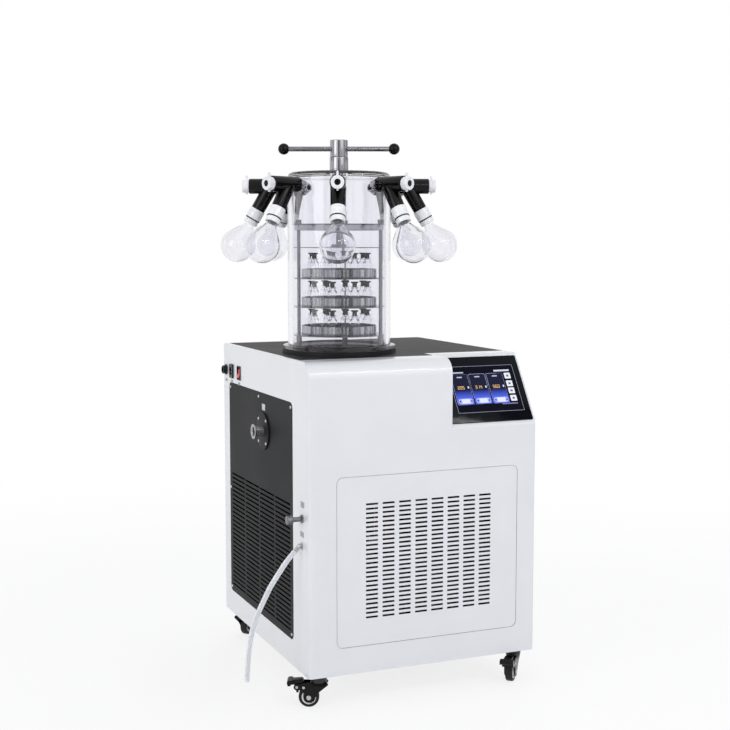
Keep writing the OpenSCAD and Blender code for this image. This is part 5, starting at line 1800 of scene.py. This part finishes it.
@dataclass
class PressHandle:
    """Steel hub with a cross bar and two black balls."""

    hub_r: float = 24.0
    hub_h: float = 45.0
    sleeve_r: float = 13.0
    bore_r: float = 8.1
    bar_r: float = 6.5
    ball_r: float = 15.0
    ball_at: float = 146.0
    yaw: float = -22.5

    def build(self) -> None:
        """Hub, sleeve and bar are one piece; the balls are another."""
        where = PLACES.chamber @ turn(Axis.Z, self.yaw)
        low, high = corner_of("press_handle")[2], corner_of("press_handle", True)[2]
        foot = high - self.hub_h
        hub = [(self.bore_r, low), (self.sleeve_r, low), (self.sleeve_r, foot), (self.hub_r, foot), (self.hub_r, high),
               (0, high), (0, high - 32), (self.bore_r, high - 32)]
        skin = Skin().sheet(turned(hub, [0, 0.5, 0, 1.2, 2.0, 0, 0, 0], 96, closed=True, steps=5), where, loop=True)
        bar_z = middle_of("handle_balls")[2]
        reach = self.ball_at - 8
        bar = turned([(0, -reach), (self.bar_r, -reach), (self.bar_r, reach), (0, reach)], [0, 0.5, 0.5, 0], 48)
        skin.sheet(bar, where @ shift(0, 0, bar_z) @ turn(Axis.Y, 90.0), 1)
        make("handle_hub", skin, [HUB_STEEL, SATIN_STEEL], "handle", ["press_handle"])
        balls = Skin()
        t = np.linspace(-np.pi / 2, np.pi / 2 - 0.47, 25)
        ball = np.stack([self.ball_r * np.cos(t), self.ball_r * np.sin(t)], axis=1)
        closed = np.concatenate([ball, [[self.bar_r + 0.05, ball[-1, 1]], [self.bar_r + 0.05, 8.0], [0.0, 8.0]]])
        for side in (0.0, 180.0):
            balls.sheet(revolve(closed, 48),
                        where @ turn(Axis.Z, side) @ shift(self.ball_at, 0, bar_z) @ turn(Axis.Y, -90.0))
        make("handle_knobs", balls, [BLACK_KNOB], "handle", ["handle_balls"])


# ---------------------------------------------------------------- rack

@dataclass
class Rack:
    """Shelves, press plate, trays, vials and stoppers."""

    tray_r: float = 100.0
    tray_h: float = 24.0
    tray_t: float = 1.2
    vial_r: float = 12.0
    vial_h: float = 52.0
    ring_r: float = 76.0
    mid_r: float = 32.0
    stopper_lift: float = 9.0
    glass_t: float = 1.2
    mouth_r: float = 6.2
    throat_r: float = 8.6
    lip_r: float = 10.0
    plug_r: float = 5.9
    flange_r: float = 9.8
    rows: Tuple[Tuple[str, str, str], ...] = (
        ("upper", "upper_row", "upper_stoppers"), ("middle", "middle_row", "middle_stoppers"),
        ("lower", "root", "lower_stoppers"))

    def vial_places(self) -> List[Tuple[float, float]]:
        """Eight places in a ring and three in the middle."""
        ring = [(self.ring_r, 45.0 * k + 10.0) for k in range(8)] + [(self.mid_r, 120.0 * k + 40.0) for k in range(3)]
        return [(r * np.cos(np.radians(a)), r * np.sin(np.radians(a))) for r, a in ring]

    def tray(self, row: str, body: str, z: float) -> None:
        """Drawn pan with a round heel and a rolled rim.

        Args:
            row: the row's name.
            body: the body that it rides on.
            z: height of its foot.
        """
        r, t, h = self.tray_r, self.tray_t, self.tray_h
        profile = [(0, 0), (r, 0), (r, h - 2.4), (r, h), (r - 2.4, h), (r - 2.4, h - 2.0), (r - t, h - 2.4),
                   (r - t, t), (0, t)]
        radii = [0, 1.6, 0.2, 1.1, 1.1, 0.4, 0.2, 1.0, 0]
        skin = Skin().sheet(turned(profile, radii, 128, steps=5), PLACES.chamber @ shift(0, 0, z))
        make(f"tray_pan_{row}", skin, [TRAY_STEEL], body, [f"tray_{row}"])

    def vials(self, row: str, body: str, z: float) -> None:
        """Moulded glass vials: dished foot, shoulder, neck and lip round an open bore.

        Args:
            row: the row's name.
            body: the body that they ride on.
            z: height of their feet.
        """
        r, h, inner = self.vial_r, self.vial_h, self.vial_r - self.glass_t
        throat, lip, mouth = self.throat_r, self.lip_r, self.mouth_r
        profile = [(0, 0.8), (r - 3, 0), (r, 0), (r, h - 13), (throat, h - 9), (throat, h - 5), (lip, h - 4.6),
                   (lip, h), (mouth, h), (mouth, h - 9), (inner, h - 14), (inner, 1.6), (0, 2.2)]
        radii = [0, 0, 1.4, 3.0, 1.0, 0.5, 0.6, 0.8, 0.5, 1.5, 2.5, 1.0, 0]
        grid = turned(profile, radii, 40, steps=4)
        skin = Skin()
        for x, y in self.vial_places():
            skin.sheet(grid, PLACES.chamber @ shift(x, y, z))
        make(f"glass_vials_{row}", skin, [VIAL_GLASS], body, [f"vials_{row}"])

    def stoppers(self, row: str, body: str, z: float) -> None:
        """Rubber stoppers: a flange that narrows to the stem, and two legs with a vent slot between them.

        Args:
            row: the row's name.
            body: the body that they ride on.
            z: height of their flanges.
        """
        r, rim = self.plug_r, self.flange_r
        profile = [(0, -6), (r, -6), (r, 0), (rim - 1, 0.5), (rim, 1.8), (rim, 4), (4.6, 4), (4.0, 3.3), (0, 3.3)]
        plug = turned(profile, [0, 0, 0.4, 0.6, 0.5, 0.8, 0.3, 0.3, 0], 32)
        angle = np.radians(np.linspace(-68.0, 68.0, 12))
        leg_loop = np.stack([r * np.cos(angle), r * np.sin(angle)], axis=1)
        leg = slab(leg_loop, [(0.9, -12.0), (0.25, -11.4), (0.0, -10.4), (0.0, -5.9)])
        skin = Skin()
        for number, (x, y) in enumerate(self.vial_places()):
            where = PLACES.chamber @ shift(x, y, z) @ turn(Axis.Z, 53.0 * number)
            skin.sheet(plug, where)
            for side in (0.0, 180.0):
                skin.block(leg, where @ turn(Axis.Z, side))
        make(f"rubber_stoppers_{row}", skin, [GREY_RUBBER], body, [f"stoppers_{row}"])

    def build(self) -> None:
        """Three rows from the top down, and the plates that stay as they are."""
        for row, body, stopper_body in self.rows:
            z = float(corner_of(f"shelf_{row}", True)[2])
            self.tray(row, body, z)
            self.vials(row, body, z + self.tray_t)
            self.stoppers(row, stopper_body, z + self.tray_t + self.vial_h + self.stopper_lift)
            dress(f"shelf_{row}", RACK_STEEL)
        dress("press_plate", RACK_STEEL)
        dress("rack_frame", FRAME_STEEL)


# ---------------------------------------------------------------- manifold

@dataclass
class Manifold:
    """Eight rubber valves round the bell, each with a turning plug, a collar and a flask."""

    bell_r: float = 137.0
    barrel_r: float = 20.0
    barrel_end: float = 238.0
    branch_l: float = 71.0
    knob_r: float = 17.0
    knob_l: float = 18.0
    flask_r: float = 45.0
    flask_at: float = 180.0
    flask_wall: float = 2.0
    neck_r: float = 14.0
    neck_start: float = 84.0
    neck_end: float = 122.0
    shoulder_r: float = 22.0
    seat: float = 12.6
    plug_r: float = 14.1
    plug_end: float = 208.0
    socket_r: float = 12.1
    socket_l: float = 16.0
    pipe_r: float = 10.0
    pipe_end: float = 170.0
    pipe_bore_r: float = 6.0
    nut_r: float = 17.0
    spud_r: float = 12.9
    collar_r: float = 20.5
    collar_waves: int = 15
    rib_depth: float = 0.022

    def valves(self) -> None:
        """Barrels and branches of rubber, the steel nipples with their hexagons, and a dark disc of painted shade in
        each nipple's bore.
        """
        wall, r, end, length = self.bell_r, self.barrel_r, self.barrel_end, self.branch_l
        start, foot = wall + self.seat, length - self.socket_l
        barrel = turned([(self.pipe_r, start), (r, start), (r, end), (self.plug_r, end), (self.plug_r, self.plug_end),
                         (self.pipe_r, self.plug_end)], [0, 2.0, 1.6, 0.6, 0, 0], 56, closed=True, steps=5)
        branch = turned([(0, 0), (r - 0.5, 0), (r - 1.5, length), (self.socket_r, length), (self.socket_r, foot),
                         (0, foot)], [0, 0, 1.4, 0.6, 0, 0], 56, steps=5)
        hexagon = rounded(ring_loop(self.nut_r, 6), 0.8, steps=3)
        nut = slab(hexagon, soft(wall + 0.3, wall + 12.3, 0.9))
        spud = rounded(ring_loop(self.spud_r, 6), 1.0, steps=3)
        inside = slab(spud, soft(wall - 15.0, wall - 9.0, 0.8))
        hole = self.pipe_bore_r
        bore = turned([(12.0, wall + 1), (12.0, wall - 14), (hole, wall - 15.2), (hole, wall)][::-1],
                      [0, 0.6, 0.6, 0], 40)
        pipe = turned([(self.pipe_r, wall), (self.pipe_r, self.pipe_end), (hole, self.pipe_end)], [0, 0.8, 0], 40)
        skin = Skin()
        for k in range(PLACES.port_count):
            along = PLACES.port(k) @ turn(Axis.Y, 90.0)
            skin.sheet(barrel, along, loop=True).sheet(branch, PLACES.branch(k))
            skin.block(nut, along, 1).sheet(pipe, along, 1)
            skin.block(inside, along, 1).sheet(bore, along, 1)
            # Painted shade: a dark disc closes each nipple's bore, standing for the shadow in the hole.
            skin.lid(np.column_stack([ring_loop(6.5), np.full(24, wall - 15.3)])[::-1], along, 2)
        make("manifold_valves", skin, [BLACK_RUBBER, PIPE_STEEL, SEAL_RUBBER], "root", ["port_valves"])

    def knob(self, k: int) -> None:
        """White plug knob: round head with a black centre, a pointer on top and a small point below.

        Args:
            k: number of its port, from 0.
        """
        where = PLACES.port(k)
        along = where @ turn(Axis.Y, 90.0)
        r, start = self.knob_r, self.barrel_end + 0.3
        face, stem, tip = start + self.knob_l, self.plug_r - 0.1, self.plug_end + 1
        head = [(0, tip), (stem, tip), (stem, start), (r, start), (r, face), (8, face), (8, face - 2), (0, face - 2)]
        skin = Skin().sheet(turned(head, [0, 0, 0, 1.0, 2.6, 0.6, 0, 0], 64, steps=6), along)
        tab = rounded([(-3, r - 3), (3, r - 3), (2.4, r + PLACES.pointer_reach), (-2.4, r + PLACES.pointer_reach)],
                      [0.3, 0.3, 2.2, 2.2], steps=5)
        point = rounded([(-2, -r - 4), (2, -r - 4), (3, -r + 3), (-3, -r + 3)], [1.6, 1.6, 0.3, 0.3], steps=4)
        for outline in (tab, point):
            skin.block(slab(outline, soft(self.barrel_end + 4, self.barrel_end + 10, 0.8)),
                       where @ turn(Axis.X, 90.0) @ turn(Axis.Y, 90.0))
        disc = turned([(7.9, face - 2), (7.9, face - 1.3), (0, face - 1.0)], [0, 0.4, 0], 40)
        skin.sheet(disc, along, 1)
        make(f"plug_knob_{k + 1}", skin, [WHITE_PLASTIC, BLACK_RUBBER], f"knob_{k + 1}",
             [f"valve_knob_{k + 1}"])

    def collars(self) -> None:
        """Ribbed collars, each with a black seal ring in its groove.

        The rim's radius dips by a share of rib_depth times the square of cos(waves * angle), twice in each wave.
        """
        start, foot, r, hole = self.branch_l, self.branch_l - 14, self.collar_r, self.neck_r + 0.2
        profile = rounded([(12, foot), (12, start), (r, start), (r, 98), (18, 98), (18, 101), (19, 101), (19, 114),
                           (hole, 114), (hole, 83), (8, 83), (8, foot)],
                          [0.6, 0, 1.4, 1.2, 0.2, 0.2, 0.8, 1.6, 1.0, 0, 0, 0.6], steps=5)
        sides = 8 * self.collar_waves
        grid = revolve(profile, sides)
        rim = np.clip((profile[:, 0] - 19.6) / 0.5, 0, 1) * np.clip(1 - np.abs(profile[:, 1] - 86) / 11, 0, 0.25) * 4
        grid[..., :2] *= (1 - self.rib_depth * rim * np.cos(self.collar_waves * bearings(sides)) ** 2)[..., None]
        t = np.linspace(-np.pi / 2, 3 * np.pi / 2, 17)[:-1]
        seal = np.stack([18.6 + 1.45 * np.cos(t), 99.5 + 1.4 * np.sin(t)], axis=1)
        skin = Skin()
        for k in range(PLACES.port_count):
            skin.sheet(grid, PLACES.branch(k), loop=True)
            skin.sheet(revolve(seal, 48), PLACES.branch(k), 1, loop=True)
        make("collar_set", skin, [COLLAR_PLASTIC, SEAL_RUBBER], "root", ["flask_collars"])

    def flask_outline(self, depth: float) -> Array:
        """Outline of a flask at a depth under its skin: neck, a cone that meets the ball as a tangent, and the ball.

        The cone leaves the neck where the line from there touches the ball: at acos(ball / distance) from the line
        to the ball's centre, plus that line's own lean.

        Args:
            depth: 0 for the outside, the wall for the inside.

        Returns:
            Points of (radius, height) from the neck's lip to the ball's pole.
        """
        ball, neck = self.flask_r - depth, self.neck_r - depth
        reach = self.flask_at - self.neck_end
        touch = np.arccos(ball / np.hypot(reach, neck)) + np.arctan2(neck, reach)
        swing = np.linspace(touch, np.pi, 40)
        sphere = np.stack([ball * np.sin(swing), self.flask_at - ball * np.cos(swing)], axis=1)
        steps = 12
        shoulder = rounded([(neck, self.neck_start), (neck, self.neck_end), tuple(sphere[0])],
                           [0, self.shoulder_r, 0], closed=False, steps=steps)
        return np.concatenate([shoulder[steps - 1:-steps], sphere])

    def flask_profile(self) -> Array:
        """Inner outline, the lip's half circle, and the outer outline.

        Returns:
            Points of (radius, height).
        """
        outer, inner = self.flask_outline(0.0), self.flask_outline(self.flask_wall)
        middle, half = self.neck_r - self.flask_wall / 2, self.flask_wall / 2
        t = np.linspace(0.0, np.pi, 7)[1:-1]
        lip = np.stack([middle - half * np.cos(t), self.neck_start + half * (1 - np.sin(t))], axis=1)
        return np.concatenate([inner[::-1], lip, outer])

    def flasks(self) -> None:
        """Blown glass flasks, open at the neck."""
        grid = revolve(self.flask_profile(), 72)
        skin = Skin()
        for k in range(PLACES.port_count):
            skin.sheet(grid, PLACES.branch(k))
        make("glass_flasks", skin, [GLASS], "root", ["flasks"])

    def build(self) -> None:
        """The whole manifold."""
        self.valves()
        for k in range(PLACES.port_count):
            self.knob(k)
        self.collars()
        self.flasks()


def main() -> None:
    """Builds the studio and the cord first, then the machine from the floor up."""
    logging.basicConfig(level=logging.INFO, format="%(name)s: %(message)s")
    for part in (Studio(), DrainHose(), Cabinet(), Console(), SideFittings(), Casters(), Machinery(), Chamber(),
                 PressHandle(), Rack(), Manifold()):
        part.build()


if __name__ == "__main__":
    main()
